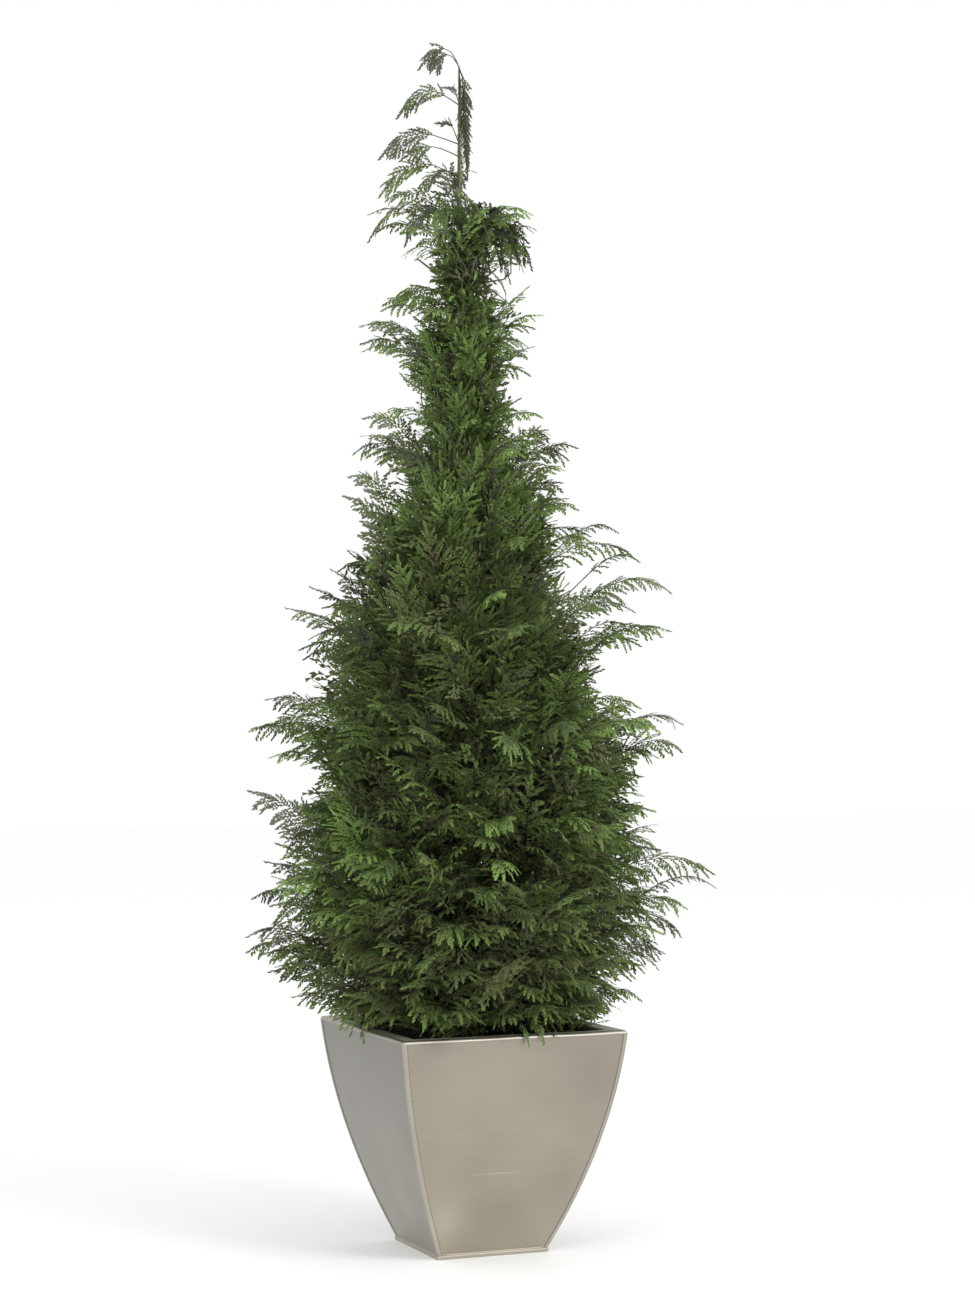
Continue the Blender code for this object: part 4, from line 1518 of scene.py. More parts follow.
@dataclass(frozen=True)
class LeaderSpray:
    """One spray on the bare top of the trunk, which arches out and nods."""

    foot: float  # the height at which it leaves the trunk
    azimuth: float
    reach: float  # out from the trunk
    crest: float  # the height of its arch
    tip: float  # the height at which it ends
    half_width: float
    outward: float  # below 1 it sets out level, above 1 upright
    roll: float  # radians it is turned about its line
    bare: float = 0.2  # the share without fronds
    droop: float = 40.0  # degrees each frond's tip bends down


LEADER_NODES = (*(f"leader_spray_{number}" for number in range(1, 6)), "leader_tip", "leader_veil")
LEADER_ROWS = (  # the first seven grow where those solids stand
    (1.862, NARROW + 0.50, 0.085, 1.908, 1.862, 0.022, 0.9, 0.9),
    (1.903, NARROW - 0.22, 0.145, 1.932, 1.876, 0.036, 0.9, 1.3, 0.30, 20),
    (1.962, NARROW + 0.16, 0.142, 1.980, 1.934, 0.031, 0.9, 1.2, 0.30, 40),
    (2.032, NARROW - 0.12, 0.110, 2.060, 2.014, 0.030, 0.9, 1.3, 0.22, 55),
    (1.888, NARROW - 1.60, 0.085, 1.922, 1.885, 0.022, 0.9, 0.2, 0.3, 60),
    (2.098, NARROW, 0.070, 2.134, 2.098, 0.027, 1.2, 1.3, 0.42, 75),
    (2.098, BROAD - 0.60, 0.018, 2.099, 1.902, 0.012, 1.0, 1.4, 0.15, 10),
    (2.100, BROAD + 0.30, 0.010, 2.101, 1.950, 0.011, 1.0, 0.6, 0.15, 10),
    (2.075, BROAD - 0.20, 0.014, 2.076, 1.920, 0.013, 1.0, 1.2, 0.15, 10),
    (2.040, BROAD - 1.20, 0.012, 2.041, 1.900, 0.012, 1.0, 0.5, 0.15, 10),
    (2.050, BROAD + 0.60, 0.019, 2.051, 1.930, 0.012, 1.0, 1.3, 0.15, 10),
    (2.090, BROAD - 1.00, 0.007, 2.091, 1.970, 0.010, 1.0, 1.2, 0.15, 10),
    (2.100, NARROW + 0.3, 0.050, 2.122, 2.092, 0.024, 1.0, 1.2, 0.40, 80),
    (1.940, NARROW + 0.25, 0.105, 1.956, 1.930, 0.024, 0.9, 1.2, 0.45, 30),
    (1.740, BROAD, 0.125, 1.830, 1.740, 0.032, 0.8, 0.7, 0.3),
    (1.760, BROAD + 0.4, 0.112, 1.828, 1.760, 0.032, 0.8, 0.5, 0.3),
    (1.735, BROAD - 0.4, 0.118, 1.812, 1.732, 0.032, 0.8, 0.6, 0.3),
    (1.780, BROAD - 0.8, 0.080, 1.830, 1.760, 0.030, 0.8, 0.5),
    (1.700, BROAD - 0.1, 0.085, 1.790, 1.715, 0.032, 0.8, 0.6),
    (1.770, BROAD + 1.0, 0.070, 1.840, 1.780, 0.030, 0.8, 0.5),
    (1.790, NARROW, 0.162, 1.858, 1.790, 0.020, 0.8, 0.8, 0.35),
    (1.780, NARROW + 0.5, 0.110, 1.845, 1.775, 0.026, 0.8, 0.6, 0.3),
    (1.800, NARROW + 1.0, 0.070, 1.850, 1.790, 0.028, 0.8, 0.4),
    (1.820, NARROW - 0.6, 0.060, 1.880, 1.830, 0.026, 0.8, 0.7),
    (1.963, NARROW + 0.2, 0.040, 2.000, 1.999, 0.010, 0.9, 1.2, 0.5, 10),
    (2.034, NARROW, 0.026, 2.064, 2.064, 0.007, 0.9, 1.2, 0.3, 10),
    (1.840, NARROW - 0.2, 0.055, 1.920, 1.885, 0.022, 0.9, 0.9),
    (1.790, BROAD - 0.7, 0.050, 1.852, 1.835, 0.022, 0.9, 0.6),
)
LEADER = tuple(LeaderSpray(*row) for row in LEADER_ROWS)
LEADER_CREST = 0.45  # the share of its line at which a spray is highest


@dataclass
class Crown:
    """All the foliage, twig by twig."""

    trunk: Trunk
    pot: Pot
    low_pieces: tuple[str, ...] = ("leaves_1", "leaves_2", "leaves_3")  # whose twigs make one piece
    variants: int = 6  # of each kind of frond

    # the limbs
    limb_thickest: float = 0.0068
    limb_of_trunk: float = 0.42  # of the trunk's radius there
    limb_tip: float = 0.0016
    limb_points: int = 12
    limb_to: float = 0.95  # of the tier's own share

    # the many outer shoots
    sizes: tuple[float, float] = (0.75, 1.10)  # the least and the most, of the tier's usual length
    tip_places: tuple[float, float] = (0.82, 1.04)  # of the body's radius
    place_scatter: float = 0.03
    rolls: tuple[tuple[float, float], ...] = ((0.2, 0.9), (0.0, 0.35))  # radians, by turns
    outer_spacing: float = 0.0085  # between the fronds
    outer_radius: float = 0.0013
    stiffening: tuple[float, float] = (0.85, 1.30)  # the heights between which they grow stiffer
    droops: tuple[float, float] = (42.0, 16.0)  # of the fronds there, in degrees

    # the leading shoots of the masses
    leading_size: float = 1.15
    leading_roll: float = 0.45
    leading_bare: float = 0.06
    rooted_at: float = 0.7  # of the body's radius
    slack: float = 1.25  # of the way from there to the tip

    # the shoots that stand out of the outline
    long_rise: float = 0.45  # radians steeper at the root than the straight line
    long_rolls: tuple[float, float] = (0.3, 0.8)
    long_spacing: float = 0.0062
    long_spread: float = 1.7  # of the spray's half width
    long_radius: float = 0.0014
    rim_sprays_below: float = 0.45  # the height under which they keep the colours of the lowest tier

    # the sprays on the bare top
    leader_spacing: float = 0.0058
    leader_spread: float = 1.6

    # the coarse shaded fronds inside
    inner_places: tuple[float, float] = (0.40, 0.88)  # of the body's radius, where they end
    inner_length: float = 0.13
    inner_width: float = 0.9
    inner_radius: float = 0.0012

    # the fronds
    fronds_to: float = 0.94  # of the shoot
    tail: float = 0.050  # the length of the frond at a shoot's end
    tail_shares: tuple[float, float] = (0.22, 0.50)  # the least and the most, of the shoot
    parting: float = 42.0  # degrees between a frond and its shoot at the root
    closing: float = 14.0  # degrees less at the tip
    parting_scatter: float = 9.0
    dwindling: float = 0.68  # of a frond's length, lost towards the shoot's tip
    lengths: tuple[float, float] = (0.70, 1.15)  # the least and the most, of the usual length
    unevenness: float = 0.18  # of a frond's plane against the spray's
    upper_loss: float = 0.5  # of the length of a frond on the upper side of an upright spray
    droop_scatter: tuple[float, float] = (0.5, 1.5)

    # the leaves
    hang: float = 0.30  # how far a frond's edges hang, as a share of their way aside
    young_from: float = 0.62  # the age from which a leaf has the younger colour
    age_scatter: float = 0.14

    # the twigs
    rib_sides: int = 3
    rib_width: float = 0.0015
    taper: float = 0.4  # of the width, left at the tip
    link_points: int = 5
    link_radius: float = 0.0011
    link_taper: tuple[float, float] = (1.5, 1.1)
    link_bend: float = 0.050  # how far back from a shoot its twig turns into line
    green_above: float = 1.45  # where the twigs are still young

    # the clearance to the pot
    over_rim: float = 0.001
    soil_below_rim: float = 0.008
    off_wall: float = 0.0015

    def __post_init__(self) -> None:
        """Lays out the patterns of the fronds, and the cells of the tiers."""
        self.patterns = {
            kind: [FrondPattern(*kind.value, 10 * number + seed).lay_out() for seed in range(self.variants)]
            for number, kind in enumerate(Kind)
        }
        self.cells = [list(self._cells_of(number)) for number in range(len(TIERS))]
        self.shoots: dict[str, list[Shoot]] = {}

    def _cells_of(self, number: int) -> Iterator[Cell]:
        """Makes the cells of a tier.

        Args:
            number: the tier's, from 0 at the foot.

        Yields:
            Each cell in turn.
        """
        tier = TIERS[number]
        for i in range(tier.masses):
            azimuth = tier.first_azimuth + math.tau * i / tier.masses
            name = f"{number + 1}_{'abcde'[i]}"
            half = math.pi / tier.masses
            swirl = SWIRL * (-1) ** number
            low, high = SURFACES[number : number + 2]
            yield Cell(name, azimuth, half, low, high, tier.reach_at(azimuth), swirl, tier, self.trunk)

    def limbs(self) -> list[tuple[str, np.ndarray, np.ndarray]]:
        """Returns the limb of each cell: its bough's node or "", its points and its radii."""
        made = []
        for cells in self.cells:
            for cell in cells:
                trunk_radius = self.trunk.radius_at(cell.place(0, 0, 0.5)[2])
                thick = min(self.limb_thickest, trunk_radius * self.limb_of_trunk)
                end = cell.reach * cell.tier.limb_share * self.limb_to
                points = cell.limb_line(0.0, end, self.limb_points)
                node = "bough_" + cell.name if cell.tier.bough else ""
                made.append((node, points, np.linspace(thick, self.limb_tip, self.limb_points)))
        return made

    def grow(self) -> None:
        """Grows every shoot, tier by tier."""
        for number, cells in enumerate(self.cells):
            grown = []
            for cell in cells:
                grown += self._cell_shoots(cell)
            self.shoots[f"leaves_{number + 1}"] = grown
        for row in LEADING_SHOOTS:
            tops = [surface.height(row.root_distance) for surface in SURFACES[1:]]
            number = min(int(np.searchsorted(tops, row.root_height)), len(TIERS) - 1)
            self.shoots[f"leaves_{number + 1}"].append(self._leading_shoot(row))
        self.shoots["leaves_top"] = [self._leader_shoot(row) for row in LEADER]

    def _cell_shoots(self, cell: Cell) -> list[Shoot]:
        """Grows the shoots of one mass.

        Args:
            cell: the mass.

        Returns:
            Its leading shoots, the many outer ones and the shaded ones.
        """
        tier = cell.tier
        made = []
        draw = random.Random(cell.name + " fine")
        for tip, turn in cell.shoot_ends():
            roll = math.copysign(self.leading_roll, turn) + turn * 0.25
            made.append(self._shoot_to(cell, draw, tip, self.leading_size, roll, NODDING_HABIT))
        for i in range(tier.sprays):
            across = i * EVEN_ACROSS + draw.uniform(-self.place_scatter, self.place_scatter)
            across = 2 * (across % 1) - 1
            up = i * EVEN_UP + draw.uniform(-self.place_scatter, self.place_scatter)
            up = (up % 1) ** tier.settling
            radius = 0.8 * cell.reach
            for _ in range(3):
                radius = body_radius(cell.place(radius, across, up))
            radius *= draw.uniform(*self.tip_places)
            tip = cell.place(min(radius, cell.reach), across, up)
            roll = draw.choice((-1, 1)) * draw.uniform(*self.rolls[i % 2])
            made.append(self._shoot_to(cell, draw, tip, draw.uniform(*self.sizes), roll, OUTER_HABIT))
        for i in range(tier.inner):
            across, up = 2 * (i * EVEN_ACROSS % 1) - 1, i * EVEN_UP % 1
            body = body_radius(cell.place(0.5 * cell.reach, across, up))
            tip = cell.place(body * draw.uniform(*self.inner_places), across, up)
            made.append(self._shaded_shoot(cell, draw, tip))
        return made

    def _line_to(
        self, cell: Cell, draw: random.Random, tip: np.ndarray, length: float, habit: Habit
    ) -> tuple[np.ndarray, float]:
        """Gives a shoot of a cell its line.

        Args:
            cell: the mass it is part of.
            draw: the source of its irregularities.
            tip: where it ends.
            length: its length.
            habit: how it lies.

        Returns:
            Its points, (PATH_POINTS, 3), and its heading.
        """
        tier = cell.tier
        heading = math.atan2(tip[1], tip[0]) + draw.gauss(0, habit.heading_scatter)
        climb = math.radians(min(tier.climb, habit.steepest) + draw.gauss(0, CLIMB_SCATTER))
        nod = tier.nod if habit.nod is None else habit.nod
        nod = math.radians(nod + draw.gauss(0, habit.nod_scatter))
        return nodding_path(tip, heading, draw.gauss(0, TURN_SCATTER), climb, nod, length), heading

    def _twig_root(self, cell: Cell, start: np.ndarray) -> np.ndarray:
        """Finds where the twig to a shoot leaves the limb of its cell, or the trunk.

        Args:
            cell: the mass it is part of.
            start: where the shoot starts.

        Returns:
            The place.
        """
        distance = float(np.hypot(*(start - self.trunk.middle(start[2]))[:2]))
        near = cell.place(min(max(0.35 * distance, distance - 0.10), 0.6 * cell.reach), 0, 0.5)
        if cell.tier.bough or near[2] < start[2] - 0.02:
            return near
        height = float(start[2]) - 0.5 * distance
        return self.trunk.middle(height) + UP * height

    def _shoot_to(
        self, cell: Cell, draw: random.Random, tip: np.ndarray, size: float, roll: float, habit: Habit
    ) -> Shoot:
        """Grows a shoot of a cell that ends at a tip.

        Args:
            cell: the mass it is part of.
            draw: the source of its irregularities.
            tip: where it ends.
            size: of the tier's usual length.
            roll: how it is turned about its own line.
            habit: how it lies.

        Returns:
            The shoot with its fronds.
        """
        length = cell.tier.length * size
        droop = float(np.interp(tip[2], self.stiffening, self.droops))
        bare = cell.tier.bare
        if habit is NODDING_HABIT:
            outside = float(np.hypot(tip[0], tip[1])) - self.rooted_at * body_radius(tip)
            length = max(length, self.slack * outside)
            droop, bare = self.droops[0], self.leading_bare
        path, heading = self._line_to(cell, draw, tip, length, habit)
        spread = cell.tier.spread * size * draw.uniform(0.85, 1.15)
        tints = deal(draw, cell.tier.tints)
        manner = Manner(roll, spread, tints, droop, bare, self.outer_spacing)
        fronds = self._fronds_on(draw, path, heading, manner)
        return Shoot(path, self.outer_radius, fronds, self._twig_root(cell, path[0]))

    def _shaded_shoot(self, cell: Cell, draw: random.Random, tip: np.ndarray) -> Shoot:
        """Grows a coarse shaded shoot of a cell, one wide frond.

        Args:
            cell: the mass it is part of.
            draw: the source of its irregularities.
            tip: where it ends.

        Returns:
            The shoot with its frond.
        """
        path, _ = self._line_to(cell, draw, tip, self.inner_length, OUTER_HABIT)
        normal = unit(np.array([draw.gauss(0, 1) for _ in range(3)]))
        line = read_line(path, np.linspace(0, 1, FROND_POINTS))
        tints = deal(draw, INNER_TINTS)
        frond = Frond(line, normal, self.inner_width, Kind.INNER, tints, draw.randrange(self.variants))
        return Shoot(path, self.inner_radius, [frond], self._twig_root(cell, path[0]))

    def _leading_shoot(self, row: LeadingShoot) -> Shoot:
        """Grows a long shoot that stands out of the crown's outline.

        Args:
            row: its place and its bend.

        Returns:
            The shoot with its fronds.
        """
        draw = random.Random(f"{row.tip_distance} {row.tip_height}")
        side = row.side + draw.uniform(-0.03, 0.03)
        out = np.array((math.cos(side), math.sin(side), 0.0))
        root = out * row.root_distance + UP * row.root_height
        tip = out * row.tip_distance + UP * row.tip_height
        slope = math.atan2(tip[2] - root[2], row.tip_distance - row.root_distance)
        path = bent_path(root, tip, slope + self.long_rise, math.radians(row.nod))
        roll = draw.choice((-1, 1)) * draw.uniform(*self.long_rolls)
        if row.roll is not None:
            roll = row.roll
        table = LOW_TINTS if row.tip_height < self.rim_sprays_below else EDGE_TINTS
        tints = row.tints or deal(draw, table)
        spread = row.half_width * self.long_spread
        manner = Manner(roll, spread, tints, self.droops[0], row.bare, self.long_spacing)
        start = out * row.root_distance * 0.6 + UP * (row.root_height - 0.4 * row.root_distance)
        return Shoot(path, self.long_radius, self._fronds_on(draw, path, side, manner), start)

    def _leader_shoot(self, row: LeaderSpray) -> Shoot:
        """Grows the shoot of a spray on the bare top, by the rule that shapes its solid.

        Args:
            row: its place and its arch.

        Returns:
            The shoot with its fronds.
        """
        draw = random.Random(f"{row.foot} {row.reach}")
        t = np.linspace(0, 1, PATH_POINTS)
        rise = (row.crest - row.foot) * np.sin(np.minimum(t / LEADER_CREST, 1) * math.pi / 2)
        drop = (row.crest - row.tip) * np.maximum(t - LEADER_CREST, 0) ** 2 / (1 - LEADER_CREST) ** 2
        out = row.reach * t**row.outward
        flat = np.cos(row.azimuth) * out, np.sin(row.azimuth) * out
        path = np.stack((*flat, row.foot + rise - drop), axis=1)
        walked = np.concatenate(((0.0,), np.cumsum(np.linalg.norm(np.diff(path, axis=0), axis=1))))
        even = np.linspace(0, walked[-1], PATH_POINTS)
        path = np.stack([np.interp(even, walked, path[:, i]) for i in range(3)], axis=1)
        path += self.trunk.middle(row.foot)
        tints = deal(draw, LEADER_TINTS)
        spread = row.half_width * self.leader_spread
        manner = Manner(row.roll, spread, tints, row.droop, row.bare, self.leader_spacing)
        return Shoot(path, self.long_radius, self._fronds_on(draw, path, row.azimuth, manner))

    def _fronds_on(
        self, draw: random.Random, path: np.ndarray, heading: float, manner: Manner
    ) -> list[Frond]:
        """Grows the fronds along a shoot: by turns on either side, and one at its end.

        Args:
            draw: the source of their irregularities.
            path: the shoot's line.
            heading: its azimuth.
            manner: how they sit on it.

        Returns:
            The fronds, from the root.
        """
        bare = manner.bare
        length = float(np.linalg.norm(np.diff(path, axis=0), axis=1).sum())
        ahead = unit(np.gradient(path, axis=0))
        level = np.array((math.sin(heading), -math.cos(heading), 0.0))

        def across_at(along: np.ndarray) -> np.ndarray:
            """The way across the spray, where the shoot runs along a direction."""
            aside = unit(level - along * (along @ level))
            return aside * math.cos(manner.roll) + np.cross(aside, along) * math.sin(manner.roll)

        made = []
        count = max(2, round(length * (self.fronds_to - bare) / manner.spacing))
        hand = draw.choice((-1, 1))
        end = min(self.tail_shares[1], max(self.tail_shares[0], self.tail / length))
        for i in range(count):
            share = bare + (1 - bare - end * 0.5) * (i + draw.uniform(0.0, 0.8)) / count
            along = unit(read_line(ahead, share))
            across = across_at(along)
            uneven = self.unevenness * np.array([draw.gauss(0, 1) for _ in range(3)])
            normal = np.cross(across, along) + uneven
            hand = -hand
            angle = self.parting - self.closing * share
            angle = math.radians(angle + draw.uniform(-self.parting_scatter, self.parting_scatter))
            way = along * math.cos(angle) + across * hand * math.sin(angle)
            size = manner.spread * (1 - self.dwindling * max(share - bare - 0.05, 0) / (0.95 - bare))
            size *= draw.uniform(*self.lengths)
            size *= 1 - self.upper_loss * max(float(across[2]) * hand, 0)
            made.append(self._frond(draw, read_line(path, share), way, normal, size, manner))
        tail = read_line(path, np.linspace(1 - end, 1, FROND_POINTS))
        kind = Kind.of_length(length * end)
        width = length * end / self.patterns[kind][0].length
        normal = np.cross(across_at(ahead[-1]), ahead[-1])
        made.append(Frond(tail, normal, width, kind, manner.tints, draw.randrange(self.variants)))
        return made

    def _frond(
        self,
        draw: random.Random,
        foot: np.ndarray,
        way: np.ndarray,
        normal: np.ndarray,
        size: float,
        manner: Manner,
    ) -> Frond:
        """Grows a frond that sets out one way and droops.

        Args:
            draw: the source of its irregularities.
            foot: where it starts.
            way: the direction it sets out in.
            normal: across its plane.
            size: its length.
            manner: how it sits.

        Returns:
            The frond.
        """
        rise = math.asin(max(-0.98, min(0.98, float(way[2]))))
        side = math.atan2(way[1], way[0])
        bend = math.radians(manner.droop * draw.uniform(*self.droop_scatter)) * math.cos(rise)
        share = (np.arange(FROND_POINTS - 1) + 0.5) / (FROND_POINTS - 1)
        steps = directions(rise - bend * share**1.3, np.full(len(share), side))
        kind = Kind.of_length(size)
        width = size / self.patterns[kind][0].length
        line = foot + traced(steps, size)
        return Frond(line, normal, width, kind, manner.tints, draw.randrange(self.variants))

    def build(self) -> None:
        """Makes the leaves tier by tier, and the twigs, and takes the place of the masses' solids."""
        twigs = {"twigs_low": Gathered(), "twigs_high": Gathered()}
        for name, shoots in self.shoots.items():
            leaves = Gathered()
            fronds = [frond for shoot in shoots for frond in shoot.fronds]
            for kind, patterns in self.patterns.items():
                for choice, layout in enumerate(patterns):
                    group = [frond for frond in fronds if frond.kind is kind and frond.choice == choice]
                    if group:
                        self._leaf_faces(leaves, layout, group)
            piece = leaves.make(name, Tint.finishes(), "foliage")
            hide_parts(*self._nodes_of(name))
            low = name in self.low_pieces
            self._twig_faces(twigs["twigs_low" if low else "twigs_high"], shoots, fronds)
        for name, gathered in twigs.items():
            gathered.make(name, Twig.finishes(), "bark")

    def _nodes_of(self, name: str) -> list[str]:
        """Names the solids that a piece of leaves stands for.

        Args:
            name: the piece's name.

        Returns:
            The names of their nodes.
        """
        if name == "leaves_top":
            return list(LEADER_NODES)
        number = int(name.removeprefix("leaves_")) - 1
        return ["foliage_" + cell.name for cell in self.cells[number]]

    def _leaf_faces(self, leaves: Gathered, layout: Layout, fronds: Sequence[Frond]) -> None:
        """Lays one pattern on the lines of some fronds.

        Args:
            leaves: gets the faces.
            layout: the pattern.
            fronds: the fronds.
        """
        paths = np.array([frond.path for frond in fronds])
        ahead = unit(np.gradient(paths, axis=1))
        flat = np.array([frond.normal for frond in fronds])[:, None]
        normal = unit(flat - ahead * (ahead * flat).sum(axis=2, keepdims=True))
        aside = np.cross(normal, ahead)
        points = np.array(layout.points)
        place = np.clip(points[:, 0] / layout.length, 0, 1) * (FROND_POINTS - 1)
        over = np.maximum(points[:, 0] - layout.length, 0)
        low = np.minimum(place.astype(int), FROND_POINTS - 2)
        part = (place - low)[None, :, None]

        def along(rows: np.ndarray) -> np.ndarray:
            """Reads rows of (fronds, FROND_POINTS, 3) at each point of the pattern."""
            return rows[:, low] * (1 - part) + rows[:, low + 1] * part

        width = np.array([frond.width for frond in fronds])[:, None]
        out = points[None, :, 1] * width
        spots = along(paths) + along(aside) * out[..., None] + along(normal) * points[None, :, 2, None]
        spots += along(ahead) * over[None, :, None]
        spots[..., 2] -= self.hang * np.abs(out)
        corners = len(points)
        faces = np.arange(corners).reshape(-1, 4)[:, [[0, 1, 2], [0, 2, 3]]].reshape(-1, 3)
        every = (faces[None] + (np.arange(len(fronds)) * corners)[:, None, None]).reshape(-1, 3)
        ages = np.array(layout.ages)
        marks = []
        for number, frond in enumerate(fronds):
            draw = np.random.default_rng(frond.choice * 31 + number)
            young = ages + draw.normal(0, self.age_scatter, len(ages)) > self.young_from
            older, younger = (tint.slot for tint in frond.tints)
            marks.append(np.repeat(np.where(young, younger, older), 2))
        leaves.add(self._clear_of_pot(spots), np.concatenate(marks), every)

    def _clear_of_pot(self, points: np.ndarray) -> np.ndarray:
        """Lifts the points that would lie in the soil or in the pot's wall.

        Args:
            points: the points, changed in place.

        Returns:
            All the points.
        """
        away = np.abs(points[..., :2]).max(axis=-1)
        rim = self.pot.height + self.over_rim
        half = self.pot.rim_width / 2
        inside = np.where(away < half - self.pot.flange, rim - self.soil_below_rim, rim)
        low = np.where(away < half + self.off_wall, inside, 0.0)
        points[..., 2] = np.maximum(points[..., 2], low)
        return points

    def _twig_faces(self, twigs: Gathered, shoots: Sequence[Shoot], fronds: Sequence[Frond]) -> None:
        """Lays a thin stem along each shoot and frond, and a twig from the limb to each shoot.

        Args:
            twigs: gets the faces.
            shoots: the shoots.
            fronds: their fronds.
        """
        young = np.mean([shoot.path[0, 2] for shoot in shoots]) > self.green_above
        bark = Twig.GREEN if young else Twig.BROWN
        stems = np.array([shoot.path[::2] for shoot in shoots])
        radii = np.array([shoot.radius for shoot in shoots])[:, None]
        self._tubes(twigs, stems, radii * np.linspace(1.0, self.taper, stems.shape[1]), bark)
        self._flat_ribs(twigs, fronds)
        linked = [shoot for shoot in shoots if shoot.root is not None]
        if not linked:
            return
        ends = np.array([shoot.path[0] for shoot in linked])
        starts = np.array([shoot.root for shoot in linked])
        first = unit(np.array([shoot.path[1] - shoot.path[0] for shoot in linked]))
        span = np.linalg.norm(ends - starts, axis=1, keepdims=True)
        bend = ends - first * np.minimum(span * 0.45, self.link_bend)
        t = np.linspace(0, 1, self.link_points)[None, :, None]
        links = starts[:, None] * (1 - t) ** 2 + 2 * bend[:, None] * t * (1 - t) + ends[:, None] * t * t
        widths = np.full((len(linked), 1), self.link_radius) * np.linspace(*self.link_taper, self.link_points)
        self._tubes(twigs, links, widths, bark)

    def _flat_ribs(self, twigs: Gathered, fronds: Sequence[Frond]) -> None:
        """Adds a thin flat rib along the middle of each frond, in its plane.

        Args:
            twigs: gets the faces.
            fronds: the fronds.
        """
        lines = np.array([frond.path[::2] for frond in fronds])
        ahead = unit(np.gradient(lines, axis=1))
        flat = np.array([frond.normal for frond in fronds])[:, None]
        aside = unit(np.cross(flat, ahead))
        count, steps = lines.shape[:2]
        half = np.linspace(self.rib_width, self.rib_width * self.taper, steps)[:, None] / 2
        points = self._clear_of_pot(np.stack((lines - aside * half, lines + aside * half), axis=2))
        one = np.array([(2 * i, 2 * i + 1, 2 * i + 3, 2 * i + 2) for i in range(steps - 1)])
        faces = (one[None] + (np.arange(count) * steps * 2)[:, None, None]).reshape(-1, 4)
        twigs.add(points, Twig.GREEN.slot, faces)

    def _tubes(self, twigs: Gathered, lines: np.ndarray, radii: np.ndarray, bark: Twig) -> None:
        """Adds three-sided tubes with closed ends.

        Args:
            twigs: gets the faces.
            lines: their points, (tubes, n, 3).
            radii: their radii, (tubes, n).
            bark: their finish.
        """
        ahead = unit(np.gradient(lines, axis=1))
        sides = unit(np.cross(ahead, (0.34, 0.21, 0.92)))
        tops = np.cross(ahead, sides)
        turns = np.arange(self.rib_sides) * math.tau / self.rib_sides
        ring = sides[:, :, None] * np.cos(turns)[:, None] + tops[:, :, None] * np.sin(turns)[:, None]
        points = self._clear_of_pot(lines[:, :, None] + ring * radii[:, :, None, None])
        count, steps = lines.shape[:2]
        faces = []
        for i in range(steps - 1):
            low, high = i * self.rib_sides, (i + 1) * self.rib_sides
            for k in range(self.rib_sides):
                after = (k + 1) % self.rib_sides
                faces.append((low + k, low + after, high + after, high + k))
        last = (steps - 1) * self.rib_sides
        shift = (np.arange(count) * steps * self.rib_sides)[:, None, None]
        walls = (np.array(faces)[None] + shift).reshape(-1, 4)
        ends = (np.array(((2, 1, 0), (last, last + 1, last + 2)))[None] + shift).reshape(-1, 3)
        twigs.add(points, bark.slot, walls, ends)


# ---------------------------------------------------------------- the studio


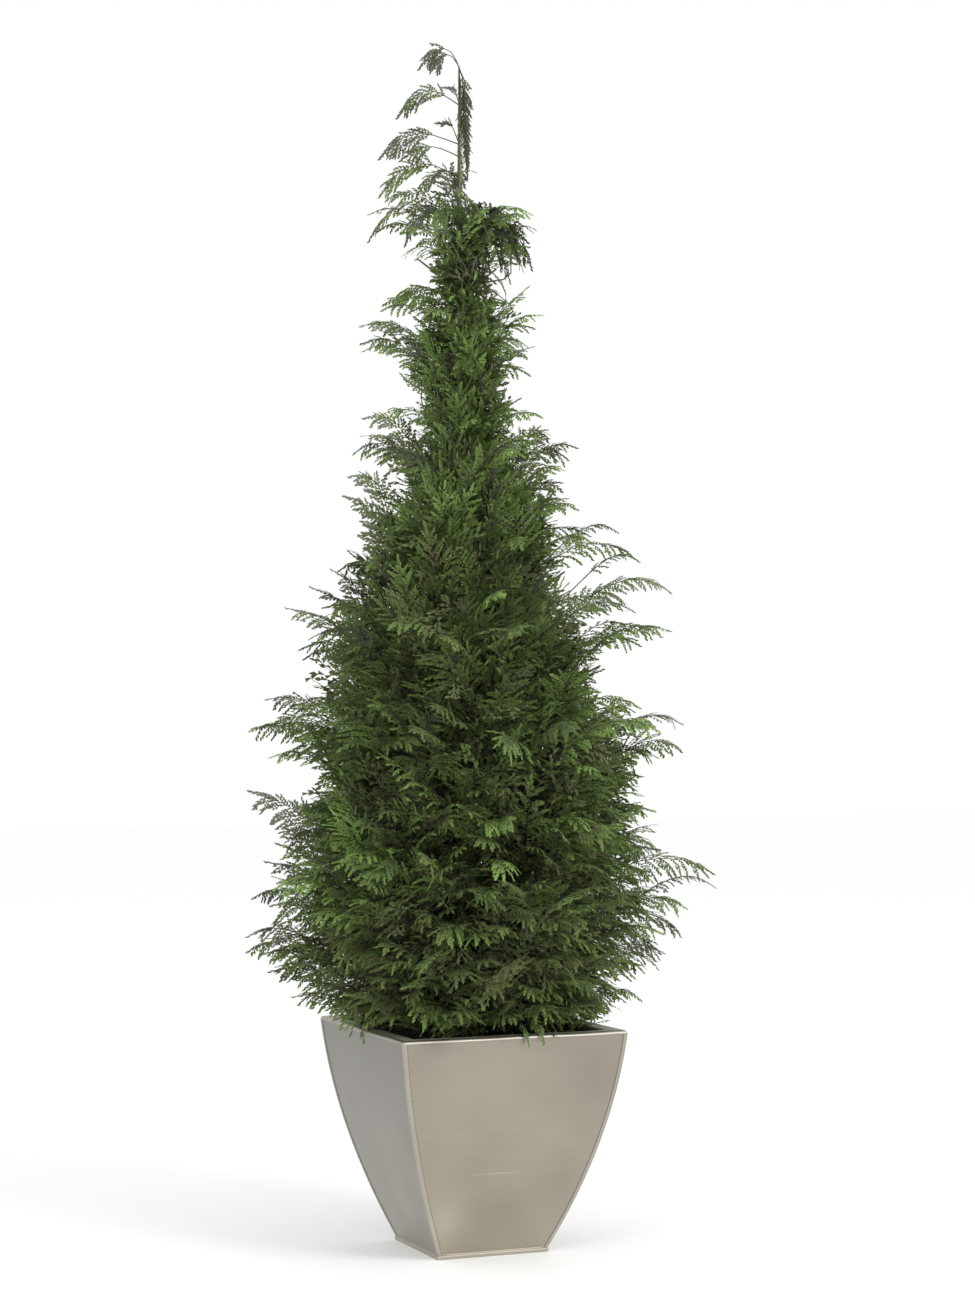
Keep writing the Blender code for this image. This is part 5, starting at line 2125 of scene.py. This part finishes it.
@dataclass
class Studio:
    """A pale floor, soft light from all round, and the camera."""

    distance: float = 5.170
    eye_height: float = 0.989
    azimuth: float = -22.42
    yaw: float = -0.33
    tilt: float = 0.77
    focal_length: float = 80.31
    sensor: float = 36.0
    floor_size: float = 30.0
    lit_height: float = 1.0  # that the lamps face

    def build(self) -> None:
        """Sets up the floor, the light and the camera."""
        clear_selection()
        bpy.ops.mesh.primitive_plane_add(size=self.floor_size)
        floor = bpy.context.object
        floor.name = "studio_floor"
        floor.data.materials.append(FLOOR.material())
        floor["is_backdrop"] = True
        self._light()
        self._camera()

    def _light(self) -> None:
        """Adds a white surround and two large soft lamps."""
        world = bpy.data.worlds.new("studio")
        world.use_nodes = True
        world.node_tree.nodes["Background"].inputs["Color"].default_value = (1.0, 1.0, 1.0, 1)
        world.node_tree.nodes["Background"].inputs["Strength"].default_value = 1.0
        scene = bpy.context.scene
        scene.world = world
        scene.view_settings.view_transform = "Standard"
        self._lamp("key", (2.0, -3.8, 3.4), 2.0, 92.0)
        self._lamp("fill", (-3.4, -2.6, 2.4), 2.4, 30.0)

    def _lamp(self, name: str, place: tuple[float, float, float], size: float, power: float) -> None:
        """Adds a square lamp that faces the middle of the crown.

        Args:
            name: its name.
            place: where it stands.
            size: its width.
            power: in watts.
        """
        light = bpy.data.lights.new(name, "AREA")
        light.size = size
        light.energy = power
        lamp = bpy.data.objects.new(name, light)
        lamp.location = place
        ahead = Vector((0, 0, self.lit_height)) - Vector(place)
        lamp.rotation_euler = ahead.to_track_quat("-Z", "Y").to_euler()
        bpy.context.scene.collection.objects.link(lamp)

    def _camera(self) -> None:
        """Places the camera."""
        turn = math.radians(self.azimuth)
        place = Vector((self.distance * math.sin(turn), -self.distance * math.cos(turn), self.eye_height))
        ahead = Vector((-math.sin(turn), math.cos(turn), 0))
        ahead = Matrix.Rotation(math.radians(self.yaw), 3, "Z") @ ahead
        right = ahead.cross(Vector((0, 0, 1))).normalized()
        ahead = Matrix.Rotation(math.radians(self.tilt), 3, right) @ ahead
        top = right.cross(ahead)
        lens = bpy.data.cameras.new("camera")
        lens.lens = self.focal_length
        lens.sensor_width = self.sensor
        camera = bpy.data.objects.new("camera", lens)
        turned = Matrix((right, top, -ahead)).transposed().to_4x4()
        camera.matrix_world = Matrix.Translation(place) @ turned
        bpy.context.scene.collection.objects.link(camera)
        bpy.context.scene.camera = camera


def main() -> None:
    """Builds the pot, the plant and the studio, in that order."""
    solid_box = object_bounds()
    pot = Pot()
    pot.build()
    soil = Soil(pot)
    soil.build()
    trunk = Trunk(soil.top)
    crown = Crown(trunk, pot)
    trunk.build(crown.limbs())
    crown.grow()
    crown.build()
    Studio().build()
    boxes = [[list(map(float, corner)) for corner in box] for box in (solid_box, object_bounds())]


if __name__ == "__main__":
    main()
